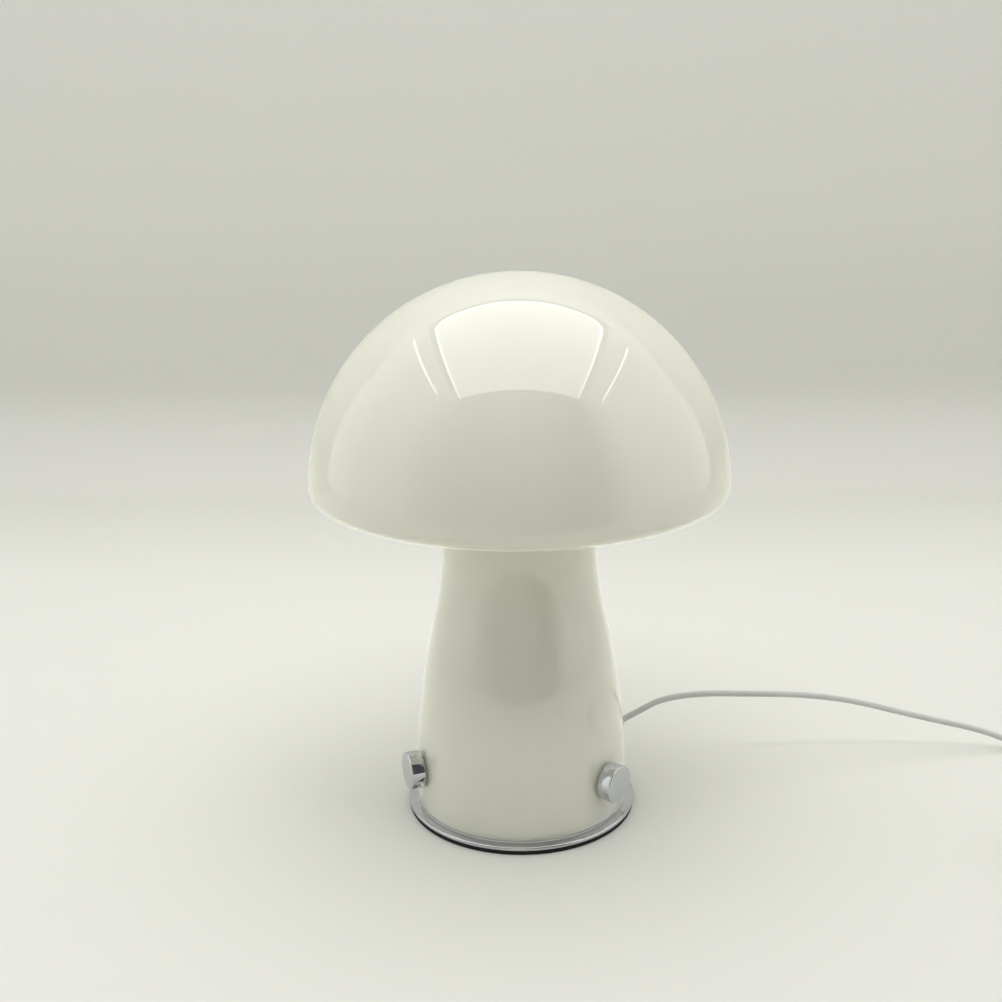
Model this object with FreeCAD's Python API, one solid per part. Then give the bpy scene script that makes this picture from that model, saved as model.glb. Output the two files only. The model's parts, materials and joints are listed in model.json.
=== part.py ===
"""Mushroom table lamp: an opal glass body held to a steel foot by three thumb screws.

Millimetres. The origin is the centre of the foot pad's underside, +Z is up and the
front of the lamp faces -Y. An azimuth is counted from the front towards +X.
"""

import FreeCAD
import Part
import math
import os

# ---- foot ----
PAD_R = 57.0
PAD_T = 2.0
PLATE_R = 57.4
PLATE_T = 2.0
PLATE_EDGE_R = 0.8
GASKET_T = 0.4

# ---- glass body: outside of the cap, the neck and the stem ----
CAP_R = 100.0
CAP_WIDEST_Z = 167.1
DOME_H = 99.1
GLASS_T = 3.0
LIP_IN = 43.9  # how far the rounded lower edge of the cap reaches inwards
LIP_DROP = 12.6  # and how far it drops below the widest ring
STEM_R = 53.0
STEM_VERTICAL_Z = 8.0  # height at which the stem's wall stands upright
STEM_ARC_R = 400.0
STEM_TURN_Z = 100.0  # height at which the flare turns into the waist
WAIST_ARC_R = 190.0

# ---- thumb screws, one set at each azimuth ----
SCREW_AZIMUTHS = {"right": 60.0, "left": -60.0, "back": 180.0}
SCREW_Z = 25.9
KNOB_R = 9.3
KNOB_T = 7.0
KNOB_FACE = 60.4  # distance of the knob's face from the lamp's axis
THREAD_R = 2.5
SCREW_TIP = 37.5
RUN_FIT = 0.05  # radial clearance of a turning or sliding fit
WASHER_R = 6.0
WASHER_T = 0.45
GLASS_HOLE_R = 3.3

# ---- brackets that carry the thumb screws' nuts ----
STRIP_T = 2.0
STRIP_W = 16.0
BRACKET_FACE = 47.0
BRACKET_FOOT_IN = 31.0
NUT_L = 5.0
NUT_FLATS = 8.0
NUT_BARREL_R = 3.7
NUT_BARREL_L = 4.4  # the closed end that covers the screw's tip
NUT_BORE_L = 8.1
BUMPER_T = 1.9
BUMPER_BORE_R = 2.9
RIVET_R = 1.5
RIVET_HEAD_R = 2.65  # countersunk into the underside of the plate
RIVET_PLACES = (4.5, -4.5)
RIVET_RING_R = 37.0

# ---- column, flange and lampholder (E14) ----
COLUMN_R = 5.0
COLUMN_BORE_R = 4.0
FLANGE_R = 14.0
FLANGE_T = 5.0
FLANGE_HUB_R = 8.0
FLANGE_HUB_T = 5.0
HOLDER_R = 13.5
HOLDER_Z = 104.0
HOLDER_CUP_H = 12.0
HOLDER_TOP_Z = 148.0
HOLDER_FLOOR_T = 3.0
HOLDER_CUP_WALL = 1.6
HOLDER_CORE_GAP = 0.2
HOLDER_CORE_OUT = 2.0  # height of the core above the cup
HOLDER_STEP_Z = 121.0  # where the shell's bore narrows to the thread's
HOLDER_BORE_R = 8.4
HOLDER_THREAD_R = 8.3
HOLDER_THREAD_BORE_R = 7.5
HOLDER_THREAD_H = 24.0
LEAF = (14.0, 3.2, 0.4)  # the spring contact across the core
LEAF_BUTTON_R = 1.8
LEAF_BUTTON_H = 2.4
COLUMN_NUT_T = 3.4
COLUMN_NUT_FLATS = 14.0
FLANGE_SCREW_R = 1.5
FLANGE_SCREW_HEAD_R = 2.85
FLANGE_SCREW_RING_R = 10.5
FLANGE_SCREW_L = 6.0

# ---- bulb ----
GLOBE_R = 22.5
GLOBE_Z = 182.0
GLOBE_WALL = 1.0
TIP_Z = 120.5
TIP_R = 2.4
INSULATOR_Z = 122.0
INSULATOR_R = 6.3
INSULATOR_TOP_Z = 126.0
CAP_THREAD_R = 6.9
CAP_BORE_R = 6.35
CAP_Z = 124.5
BULB_FOOT_Z = 146.0
BULB_RIM_Z = 168.0
HOUSING_FOOT_R = 7.4
HOUSING_BORE_R = 6.2
HOUSING_WALL = 1.5
DRIVER_BOARD = (9.0, 1.2, 36.0)
DRIVER_Z = 128.0
CHIP_BOARD_R = 13.5
CHIP_BOARD_T = 1.2
CHIP_COUNT = 6
CHIP = (3.5, 2.8, 0.7)
CHIP_RING_R = 8.0

# ---- lead ----
CORD_R = 1.6
CONDUCTOR_R = 0.65
EXIT_AZIMUTH = 120.0
EXIT_Z = 30.5
EXIT_RISE = 20.0  # degrees above level
NOSE_L = 5.0
GROMMET_HOLE_R = 4.2
GROMMET_FLANGE_R = 6.0
GROMMET_FLANGE_T = 1.2
GROMMET_GAP = 0.75  # the wall is curved, so its flanges stand a little off it
GRIP_FIT = 0.02  # radial clearance round a gripped lead
WIRE_END_Z = 110.0
CONDUCTOR_TOPS = ((-10.3, 1.3), (-9.2, -1.2))  # beside the column, in the lead's own axes
CONDUCTOR_ASIDE = 0.8  # half the distance between the two wires where they leave the lead

# ---- clamp that takes the pull of the lead ----
CLAMP_ASIDE = 23.0
CLAMP_CORD_Z = 8.3
CLAMP_ENDS = (-20.0, -10.0)
CLAMP_HALF_W = 8.0
CLAMP_SPLIT = 0.1  # half the gap between the saddle and its bar
CLAMP_TOP_Z = 11.6
CLAMP_SCREW_R = 1.2
CLAMP_SCREW_OFF = 5.4
CLAMP_SCREW_END = 0.4  # how far its end stays inside the plate

# ---- in-line switch ----
SWITCH_X = 291.0
SWITCH_Y = 25.0
SWITCH_L = 40.0
SWITCH_W = 18.0
SWITCH_H = 12.0
SWITCH_WALL = 1.5
SWITCH_CORNER_R = 6.0
SWITCH_TOP_EDGE_R = 1.6
SWITCH_LOW_EDGE_R = 1.0
SWITCH_MOUTH_R = 2.7
SWITCH_CORD_Z = 5.0
POST_R = 2.3
POST_IN = 6.0  # from each end of the case
SWITCH_SCREW_R = 1.0
SWITCH_SCREW_HEAD_R = 2.0
SWITCH_SCREW_END_Z = 9.0
BOOT_L = 7.0
BOOT_GAP = 0.05
BOOT_ROOT_R = 3.8
BOOT_TIP_R = 2.4
BOOT_PLUG_R = 2.6
ROCKER_L = 13.0
ROCKER_W = 7.6
ROCKER_TILT = 6.0
ROCKER_DEPTH = 2.0  # below its pin
ROCKER_EARS = 3.0  # height of its two ends above the pin
PIN_R = 0.8
PIN_Z = 10.2
LUG = (4.0, 1.4, 2.6)
SWITCH_STRIP = (3.0, 4.0, 0.5)
SWITCH_STRIP_X = 4.5
SWITCH_POST_H = (3.6, 2.4)  # the struck contact stands higher than the hinged one

# ---- coil of the stored length ----
COIL_TURNS = 3  # in each layer
COIL_LAYERS = 4
COIL_PITCH = 3.75
COIL_INNER_R = 12.4
COIL_START_Y = -21.0
COIL_Z = 2.7
TIE_T = 0.6
TIE_W = 5.0
TIE_GAP = 0.3

# ---- plug ----
PLUG_Y = -67.0
PLUG_Z = 4.0
PLUG_NOSE_L = 9.0
PLUG_BODY = (22.0, 15.0, 8.0)
PLUG_SHELL = (17.5, 12.0, 4.5)
PLUG_SHELL_WALL = 0.3
PLUG_SHELL_OUT = 12.5
PLUG_SHELL_FIT = 0.01
PLUG_NOSE_TIP_R = 2.3
PLUG_NOSE_ROOT_R = 3.4
PLUG_EDGE_R = 1.6
PLUG_WINDOW = (2.4, 2.2, 8.0)
PLUG_WINDOW_Y = 3.0
PLUG_WINDOW_X = 5.0
TONGUE_T = 1.8
TONGUE_FIT = 0.05
PLUG_CONTACT = (14.5, 1.0, 0.15)
PLUG_CONTACT_Y = (-3.5, -1.0, 1.0, 3.5)

ORIGIN = FreeCAD.Vector(0, 0, 0)
UP = FreeCAD.Vector(0, 0, 1)
ALONG_X = FreeCAD.Vector(1, 0, 0)
PLATE_TOP = PAD_T + PLATE_T


def vec(x, y, z=0.0):
    return FreeCAD.Vector(x, y, z)


def unit(v):
    return v * (1.0 / v.Length)


def outward(azimuth):
    angle = math.radians(azimuth)
    return vec(math.sin(angle), -math.cos(angle))


def faced(shape, azimuth):
    """A shape built along +X, turned about the lamp's axis to point at an azimuth."""
    copy = shape.copy()
    copy.rotate(ORIGIN, UP, azimuth - 90.0)
    return copy


def cylinder(radius, start, direction, length):
    return Part.makeCylinder(radius, length, start, direction)


def cone(radius_a, radius_b, start, direction, length):
    return Part.makeCone(radius_a, radius_b, length, start, direction)


def ring(radius, bore, z, height):
    return cylinder(radius, vec(0, 0, z), UP, height).cut(
        cylinder(bore, vec(0, 0, z - 1), UP, height + 2)
    )


def box(low, size):
    return Part.makeBox(size[0], size[1], size[2], low)


def line(a, b):
    return Part.LineSegment(a, b).toShape()


def arc(a, middle, b):
    return Part.Arc(a, middle, b).toShape()


def hexagon(flats, start, direction, length):
    """A hexagonal prism, with the distance across its flats."""
    corners = [
        vec(
            flats / math.sqrt(3) * math.cos(math.radians(60 * k)),
            flats / math.sqrt(3) * math.sin(math.radians(60 * k)),
        )
        for k in range(7)
    ]
    prism = Part.Face(Part.makePolygon(corners)).extrude(vec(0, 0, length))
    prism.Placement = FreeCAD.Placement(start, FreeCAD.Rotation(UP, direction))
    return prism


def turned_profile(points):
    """A solid of revolution about Z from a closed outline of (radius, z) points."""
    corners = [vec(r, 0, z) for r, z in points + points[:1]]
    return Part.Face(Part.makePolygon(corners)).revolve(ORIGIN, UP, 360)


def save(name, *solids):
    """Write one node, a single solid or a group of separate identical ones."""
    for number, solid in enumerate(solids):
        if len(solid.Solids) != 1 or not solid.isValid():
            print("CHECK", name, number, len(solid.Solids), solid.isValid())
    shape = solids[0] if len(solids) == 1 else Part.makeCompound(list(solids))
    shape.exportStep("parts/" + name + ".step")


# ---------------------------------------------------------------- foot


def make_foot():
    pad = cylinder(PAD_R, ORIGIN, UP, PAD_T)
    save("foot_pad", pad.makeChamfer(0.3, [pad.Edges[0], pad.Edges[2]]))

    plate = cylinder(PLATE_R, vec(0, 0, PAD_T), UP, PLATE_T)
    plate = plate.makeFillet(PLATE_EDGE_R, [plate.Edges[0], plate.Edges[2]])
    for spot in rivet_spots():
        plate = plate.cut(countersunk_hole(spot, RIVET_R + RUN_FIT, RIVET_HEAD_R + RUN_FIT))
    for spot in flange_screw_spots():
        plate = plate.cut(
            countersunk_hole(spot, FLANGE_SCREW_R + RUN_FIT, FLANGE_SCREW_HEAD_R + RUN_FIT)
        )
    for spot in clamp_screw_spots():
        start = spot + vec(0, 0, PAD_T + CLAMP_SCREW_END - 0.1)
        plate = plate.cut(cylinder(CLAMP_SCREW_R + RUN_FIT, start, UP, PLATE_T))
    save("base_plate", plate)

    foot_r = stem_radius(PLATE_TOP + GASKET_T)
    save("glass_gasket", ring(foot_r, foot_r - GLASS_T - 1.0, PLATE_TOP, GASKET_T))


def countersunk_hole(spot, hole_r, head_r):
    """A cutter through the plate, with its countersink on the underside."""
    hole = cylinder(hole_r, spot + vec(0, 0, PAD_T - 1), UP, PLATE_T + 2)
    depth = head_r - hole_r
    return hole.fuse(cone(head_r, hole_r, spot + vec(0, 0, PAD_T - 0.01), UP, depth))


def rivet_spots():
    return [
        outward(azimuth) * RIVET_RING_R + outward(azimuth + 90) * across
        for azimuth in SCREW_AZIMUTHS.values()
        for across in RIVET_PLACES
    ]


# ---------------------------------------------------------------- glass body


def stem_radius(z):
    """Outer radius of the stem below the turn of its flare."""
    return STEM_R - STEM_ARC_R + math.sqrt(STEM_ARC_R**2 - (z - STEM_VERTICAL_Z) ** 2)


def waist():
    """Radius and height of the neck, where the wall stands upright again."""
    lean = math.asin((STEM_TURN_Z - STEM_VERTICAL_Z) / STEM_ARC_R)
    radius = stem_radius(STEM_TURN_Z) - WAIST_ARC_R * (1 - math.cos(lean))
    return radius, STEM_TURN_Z + WAIST_ARC_R * math.sin(lean)


def quarter_ellipse(inner_end, outer_end):
    """A quarter of an ellipse that leaves inner_end level and reaches outer_end upright."""
    centre = vec(inner_end.x, 0, outer_end.z)
    across = abs(outer_end.x - inner_end.x)
    rise = abs(outer_end.z - inner_end.z)
    if across >= rise:
        far, near = vec(centre.x + across, 0, centre.z), vec(centre.x, 0, centre.z + rise)
    else:
        far, near = vec(centre.x, 0, centre.z + rise), vec(centre.x + across, 0, centre.z)
    curve = Part.Ellipse(far, near, centre)
    turns = sorted((curve.parameter(inner_end), curve.parameter(outer_end)))
    if turns[1] - turns[0] > math.pi:
        turns = [turns[1], turns[0] + 2 * math.pi]
    return curve.toBSpline(turns[0], turns[1]).toShape()


def wall_outline(inset):
    """The outline of the glass wall from the foot to the crown, set in by inset."""
    neck_r, neck_z = waist()
    floor_z = CAP_WIDEST_Z - LIP_DROP + inset
    corner_r = floor_z - neck_z
    lip_start = vec(CAP_R - LIP_IN, 0, floor_z)
    widest = vec(CAP_R - inset, 0, CAP_WIDEST_Z)
    crown = vec(0, 0, CAP_WIDEST_Z + DOME_H - inset)
    foot_z = PLATE_TOP + GASKET_T + GLASS_T / 2
    lean = math.asin((STEM_TURN_Z - STEM_VERTICAL_Z) / STEM_ARC_R)
    stem_r = STEM_ARC_R - inset
    stem_centre = vec(STEM_R - STEM_ARC_R, 0, STEM_VERTICAL_Z)
    waist_r = WAIST_ARC_R + inset
    waist_centre = vec(neck_r + WAIST_ARC_R, 0, neck_z)

    def on_stem(angle):
        return stem_centre + vec(math.cos(angle), 0, math.sin(angle)) * stem_r

    def on_waist(angle):
        return waist_centre - vec(math.cos(angle), 0, math.sin(angle)) * waist_r

    foot_angle = math.asin((foot_z - STEM_VERTICAL_Z) / stem_r)
    neck = vec(neck_r - inset, 0, neck_z)
    corner_centre = vec(neck.x + corner_r, 0, neck_z)
    diagonal = vec(-math.sqrt(0.5), 0, math.sqrt(0.5)) * corner_r
    shoulder = vec(neck.x + corner_r, 0, floor_z)
    edges = [
        arc(on_stem(foot_angle), on_stem((foot_angle + lean) / 2), on_stem(lean)),
        arc(on_waist(lean), on_waist(lean / 2), neck),
        arc(neck, corner_centre + diagonal, shoulder),
        line(shoulder, lip_start),
        quarter_ellipse(lip_start, widest),
        quarter_ellipse(crown, widest),
    ]
    return edges, on_stem(foot_angle), crown


def make_glass():
    outside, foot_out, crown_out = wall_outline(0.0)
    inside, foot_in, crown_in = wall_outline(GLASS_T)
    foot_middle = (foot_out + foot_in) * 0.5 - UP * ((foot_out - foot_in).Length / 2)
    edges = outside + inside + [line(crown_in, crown_out), arc(foot_in, foot_middle, foot_out)]
    outline = Part.Wire(Part.__sortEdges__(edges))
    glass = Part.Face(outline).revolve(ORIGIN, UP, 360)
    for azimuth in SCREW_AZIMUTHS.values():
        start = outward(azimuth) * SCREW_TIP + UP * SCREW_Z
        glass = glass.cut(cylinder(GLASS_HOLE_R, start, outward(azimuth), 30))
    start = outward(EXIT_AZIMUTH) * SCREW_TIP + UP * EXIT_Z
    glass = glass.cut(cylinder(GROMMET_HOLE_R + RUN_FIT, start, outward(EXIT_AZIMUTH), 30))
    save("glass_body", glass)


# ---------------------------------------------------------------- thumb screws and brackets


def make_screws():
    knob_back = KNOB_FACE - KNOB_T
    knob = cylinder(KNOB_R, vec(knob_back, 0, SCREW_Z), ALONG_X, KNOB_T)
    knob = knob.makeChamfer(0.5, [knob.Edges[0], knob.Edges[2]])
    shank = cylinder(THREAD_R, vec(SCREW_TIP, 0, SCREW_Z), ALONG_X, knob_back - SCREW_TIP + 1)
    shank = shank.makeChamfer(0.6, [shank.Edges[2]])
    screw = knob.fuse(shank).removeSplitter()

    washer_start = vec(knob_back - RUN_FIT - WASHER_T, 0, SCREW_Z)
    washer = cylinder(WASHER_R, washer_start, ALONG_X, WASHER_T).cut(
        cylinder(THREAD_R + RUN_FIT, washer_start - ALONG_X, ALONG_X, WASHER_T + 2)
    )

    back = BRACKET_FACE - STRIP_T
    upright = box(vec(back, -STRIP_W / 2, PLATE_TOP), (STRIP_T, STRIP_W, SCREW_Z - PLATE_TOP))
    upright = upright.fuse(cylinder(STRIP_W / 2, vec(back, 0, SCREW_Z), ALONG_X, STRIP_T))
    foot = box(
        vec(BRACKET_FOOT_IN, -STRIP_W / 2, PLATE_TOP),
        (BRACKET_FACE - BRACKET_FOOT_IN, STRIP_W, STRIP_T),
    )
    bracket = upright.fuse(foot).removeSplitter()
    bends = [
        edge
        for edge in bracket.Edges
        if edge.Length > STRIP_W - 0.01
        and abs(edge.CenterOfMass.y) < 0.01
        and (edge.CenterOfMass - vec(BRACKET_FACE, 0, PLATE_TOP)).Length < 0.01
    ]
    bracket = bracket.makeFillet(STRIP_T * 0.9, bends)
    hole = cylinder(THREAD_R + RUN_FIT, vec(back - 1, 0, SCREW_Z), ALONG_X, STRIP_T + 2)
    bracket = bracket.cut(hole)
    for across in RIVET_PLACES:
        spot = vec(RIVET_RING_R, across, PLATE_TOP - 1)
        bracket = bracket.cut(cylinder(RIVET_R + RUN_FIT, spot, UP, STRIP_T + 2))

    nut = hexagon(NUT_FLATS, vec(back - NUT_L, 0, SCREW_Z), ALONG_X, NUT_L)
    barrel_end = back - NUT_L - NUT_BARREL_L
    barrel = cylinder(NUT_BARREL_R, vec(barrel_end, 0, SCREW_Z), ALONG_X, NUT_BARREL_L + 1)
    barrel = barrel.makeFillet(0.8, [barrel.Edges[2]])
    bore = cylinder(THREAD_R + RUN_FIT, vec(back - NUT_BORE_L, 0, SCREW_Z), ALONG_X, NUT_BORE_L + 1)
    nut = nut.fuse(barrel).removeSplitter().cut(bore)
    bumper = cylinder(WASHER_R, vec(BRACKET_FACE, 0, SCREW_Z), ALONG_X, BUMPER_T).cut(
        cylinder(BUMPER_BORE_R, vec(BRACKET_FACE - 1, 0, SCREW_Z), ALONG_X, BUMPER_T + 2)
    )
    for side, azimuth in SCREW_AZIMUTHS.items():
        save("thumb_screw_" + side, faced(screw, azimuth))
        save("screw_washer_" + side, faced(washer, azimuth))
        save("bracket_" + side, faced(bracket, azimuth))
    save("bracket_nuts", *[faced(nut, azimuth) for azimuth in SCREW_AZIMUTHS.values()])
    save("glass_bumpers", *[faced(bumper, azimuth) for azimuth in SCREW_AZIMUTHS.values()])

    rivet = turned_profile(
        [
            (0, 0),
            (RIVET_HEAD_R, 0),
            (RIVET_R, RIVET_HEAD_R - RIVET_R),
            (RIVET_R, PLATE_T + STRIP_T),
            (RIVET_R + 1.3, PLATE_T + STRIP_T),
            (RIVET_R + 0.8, PLATE_T + STRIP_T + 0.9),
            (0, PLATE_T + STRIP_T + 1.2),
        ]
    )
    rivets = []
    for spot in rivet_spots():
        copy = rivet.copy()
        copy.translate(spot + vec(0, 0, PAD_T))
        rivets.append(copy)
    save("bracket_rivets", *rivets)


# ---------------------------------------------------------------- column and lampholder


def flange_screw_spots():
    return [outward(azimuth) * FLANGE_SCREW_RING_R for azimuth in (0.0, 120.0, 240.0)]


def make_column():
    hub_top = PLATE_TOP + FLANGE_T + FLANGE_HUB_T
    flange = turned_profile(
        [
            (COLUMN_R + RUN_FIT, PLATE_TOP),
            (FLANGE_R, PLATE_TOP),
            (FLANGE_R, PLATE_TOP + FLANGE_T - 0.5),
            (FLANGE_R - 0.5, PLATE_TOP + FLANGE_T),
            (FLANGE_HUB_R, PLATE_TOP + FLANGE_T),
            (FLANGE_HUB_R, hub_top - 0.5),
            (FLANGE_HUB_R - 0.5, hub_top),
            (COLUMN_R + RUN_FIT, hub_top),
        ]
    )
    screw = turned_profile(
        [
            (0, 0),
            (FLANGE_SCREW_HEAD_R, 0),
            (FLANGE_SCREW_R, FLANGE_SCREW_HEAD_R - FLANGE_SCREW_R),
            (FLANGE_SCREW_R, FLANGE_SCREW_L),
            (0, FLANGE_SCREW_L),
        ]
    )
    screws = []
    for spot in flange_screw_spots():
        hole = cylinder(FLANGE_SCREW_R + RUN_FIT, spot + vec(0, 0, PLATE_TOP - 1), UP, FLANGE_T)
        flange = flange.cut(hole)
        copy = screw.copy()
        copy.translate(spot + vec(0, 0, PAD_T))
        screws.append(copy)
    save("column_flange", flange)
    save("flange_screws", *screws)

    column_foot = PLATE_TOP + 0.2
    column_end = HOLDER_Z + HOLDER_FLOOR_T
    save("column", ring(COLUMN_R, COLUMN_BORE_R, column_foot, column_end - column_foot))
    nut = hexagon(COLUMN_NUT_FLATS, vec(0, 0, HOLDER_Z - COLUMN_NUT_T), UP, COLUMN_NUT_T)
    start = vec(0, 0, HOLDER_Z - COLUMN_NUT_T - 1)
    bore = cylinder(COLUMN_R + RUN_FIT, start, UP, COLUMN_NUT_T + 2)
    save("column_nut", nut.cut(bore))


def make_lampholder():
    floor_z = HOLDER_Z + HOLDER_FLOOR_T
    cup_top = HOLDER_Z + HOLDER_CUP_H
    core_top = cup_top + HOLDER_CORE_OUT
    cup_bore_r = HOLDER_R - HOLDER_CUP_WALL
    cup = turned_profile(
        [
            (COLUMN_R + RUN_FIT, HOLDER_Z),
            (HOLDER_R - 1.0, HOLDER_Z),
            (HOLDER_R, HOLDER_Z + 1.0),
            (HOLDER_R, cup_top),
            (cup_bore_r, cup_top),
            (cup_bore_r, floor_z),
            (COLUMN_R + RUN_FIT, floor_z),
        ]
    )
    core_foot = floor_z + HOLDER_CORE_GAP
    core = cylinder(cup_bore_r - 0.4, vec(0, 0, core_foot), UP, core_top - core_foot)
    for out, aside in CONDUCTOR_TOPS:
        spot = in_lead_axes(out, aside, HOLDER_Z - 1)
        cup = cup.cut(cylinder(CONDUCTOR_R + 0.25, spot, UP, HOLDER_FLOOR_T + 2))
        core = core.cut(cylinder(CONDUCTOR_R + 0.1, spot, UP, WIRE_END_Z + 1.2 - HOLDER_Z))
    save("holder_cup", cup)
    save("holder_core", core)

    shell_bore_r = cup_bore_r - 0.2
    shell = turned_profile(
        [
            (shell_bore_r, cup_top),
            (HOLDER_R, cup_top),
            (HOLDER_R, HOLDER_TOP_Z - 1.0),
            (HOLDER_R - 1.0, HOLDER_TOP_Z),
            (HOLDER_BORE_R, HOLDER_TOP_Z),
            (HOLDER_BORE_R, HOLDER_STEP_Z),
            (shell_bore_r, HOLDER_STEP_Z),
        ]
    )
    save("holder_shell", shell)
    thread = ring(HOLDER_THREAD_R, HOLDER_THREAD_BORE_R, HOLDER_STEP_Z + 0.4, HOLDER_THREAD_H)
    save("holder_thread", thread)
    leaf = box(vec(-LEAF[0] / 2, -LEAF[1] / 2, core_top), LEAF)
    leaf = leaf.fuse(cylinder(LEAF_BUTTON_R, vec(0, 0, core_top), UP, LEAF_BUTTON_H))
    save("holder_contact", leaf.removeSplitter())


# ---------------------------------------------------------------- bulb


def make_bulb():
    tip = [
        (0, TIP_Z),
        (TIP_R - 0.4, TIP_Z),
        (TIP_R, TIP_Z + 0.7),
        (TIP_R, INSULATOR_Z),
        (0, INSULATOR_Z),
    ]
    save("bulb_tip", turned_profile(tip))
    insulator = [
        (0, INSULATOR_Z),
        (TIP_R + 0.8, INSULATOR_Z),
        (INSULATOR_R, CAP_Z - 0.1),
        (INSULATOR_R, INSULATOR_TOP_Z),
        (0, INSULATOR_TOP_Z),
    ]
    save("bulb_insulator", turned_profile(insulator))
    cap = [
        (CAP_BORE_R, CAP_Z),
        (CAP_THREAD_R, CAP_Z + 0.7),
        (CAP_THREAD_R, BULB_FOOT_Z),
        (CAP_BORE_R, BULB_FOOT_Z),
    ]
    save("bulb_cap", turned_profile(cap))
    rim_r = math.sqrt(GLOBE_R**2 - (GLOBE_Z - BULB_RIM_Z) ** 2)
    housing_z = BULB_FOOT_Z + 0.02
    housing = [
        (HOUSING_BORE_R, housing_z),
        (HOUSING_FOOT_R, housing_z),
        (HOUSING_FOOT_R + 2.0, BULB_FOOT_Z + 4.0),
        (rim_r, BULB_RIM_Z),
        (rim_r - HOUSING_WALL, BULB_RIM_Z),
        (HOUSING_BORE_R + 1.8, BULB_FOOT_Z + 4.6),
        (HOUSING_BORE_R, BULB_FOOT_Z + 2.0),
    ]
    save("bulb_housing", turned_profile(housing))
    start = vec(-DRIVER_BOARD[0] / 2, -DRIVER_BOARD[1] / 2, DRIVER_Z)
    save("bulb_driver", box(start, DRIVER_BOARD))
    board_z = BULB_RIM_Z - 2.0
    save("bulb_board", cylinder(CHIP_BOARD_R, vec(0, 0, board_z), UP, CHIP_BOARD_T))
    chips = []
    for k in range(CHIP_COUNT):
        chip = box(vec(CHIP_RING_R, -CHIP[1] / 2, board_z + CHIP_BOARD_T), CHIP)
        chip.rotate(ORIGIN, UP, 360 / CHIP_COUNT * k)
        chips.append(chip)
    save("bulb_chips", *chips)
    centre = vec(0, 0, GLOBE_Z)
    globe = Part.makeSphere(GLOBE_R, centre).cut(Part.makeSphere(GLOBE_R - GLOBE_WALL, centre))
    side = 3 * GLOBE_R
    below = box(vec(-side / 2, -side / 2, BULB_RIM_Z + 0.02 - side), (side, side, side))
    save("bulb_globe", globe.cut(below))


# ---------------------------------------------------------------- lead inside the lamp


def in_lead_axes(out, aside, z):
    """A point out from the lamp's axis along the cord exit, and aside to its left."""
    return outward(EXIT_AZIMUTH) * out + outward(EXIT_AZIMUTH + 90) * aside + UP * z


def clamp_screw_spots():
    middle = sum(CLAMP_ENDS) / 2
    return [
        in_lead_axes(middle, CLAMP_ASIDE + off, 0) for off in (CLAMP_SCREW_OFF, -CLAMP_SCREW_OFF)
    ]


def cord_exit():
    """Where the lead crosses the glass wall, and its direction there."""
    rise = math.radians(EXIT_RISE)
    way = outward(EXIT_AZIMUTH) * math.cos(rise) + UP * math.sin(rise)
    return outward(EXIT_AZIMUTH) * stem_radius(EXIT_Z) + UP * EXIT_Z, way


def smooth_edges(name, points, radius):
    """Straight runs joined by tangent arcs as large as the runs allow."""
    edges = []
    radii = []
    last = points[0]
    for before, corner, after in zip(points, points[1:], points[2:]):
        way_in = unit(corner - before)
        way_out = unit(after - corner)
        half = way_in.getAngle(way_out) / 2
        setback = 0.45 * min((corner - before).Length, (after - corner).Length)
        bend = setback / math.tan(half)
        inner = unit(way_out - way_in)
        start = corner - way_in * setback
        middle = corner + inner * (bend / math.cos(half) - bend)
        end = corner + way_out * setback
        edges += [line(last, start), arc(start, middle, end)]
        radii.append(round(bend, 1))
        last = end
    edges.append(line(last, points[-1]))
    print(name, "radii", radii, "smallest in diameters", round(min(radii) / radius / 2, 1))
    return edges


def tube(name, edges, radius):
    """A round tube along a path of tangent edges, with its volume set against its length."""
    path = Part.Wire(edges)
    start = edges[0].valueAt(edges[0].FirstParameter)
    way = edges[0].tangentAt(edges[0].FirstParameter)
    section = Part.Wire([Part.makeCircle(radius, start, way)])
    solid = path.makePipeShell([section], True, False)
    share = solid.Volume / (math.pi * radius**2 * path.Length)
    print(name, "length", round(path.Length, 1), "volume share", round(share, 4))
    return solid


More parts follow.
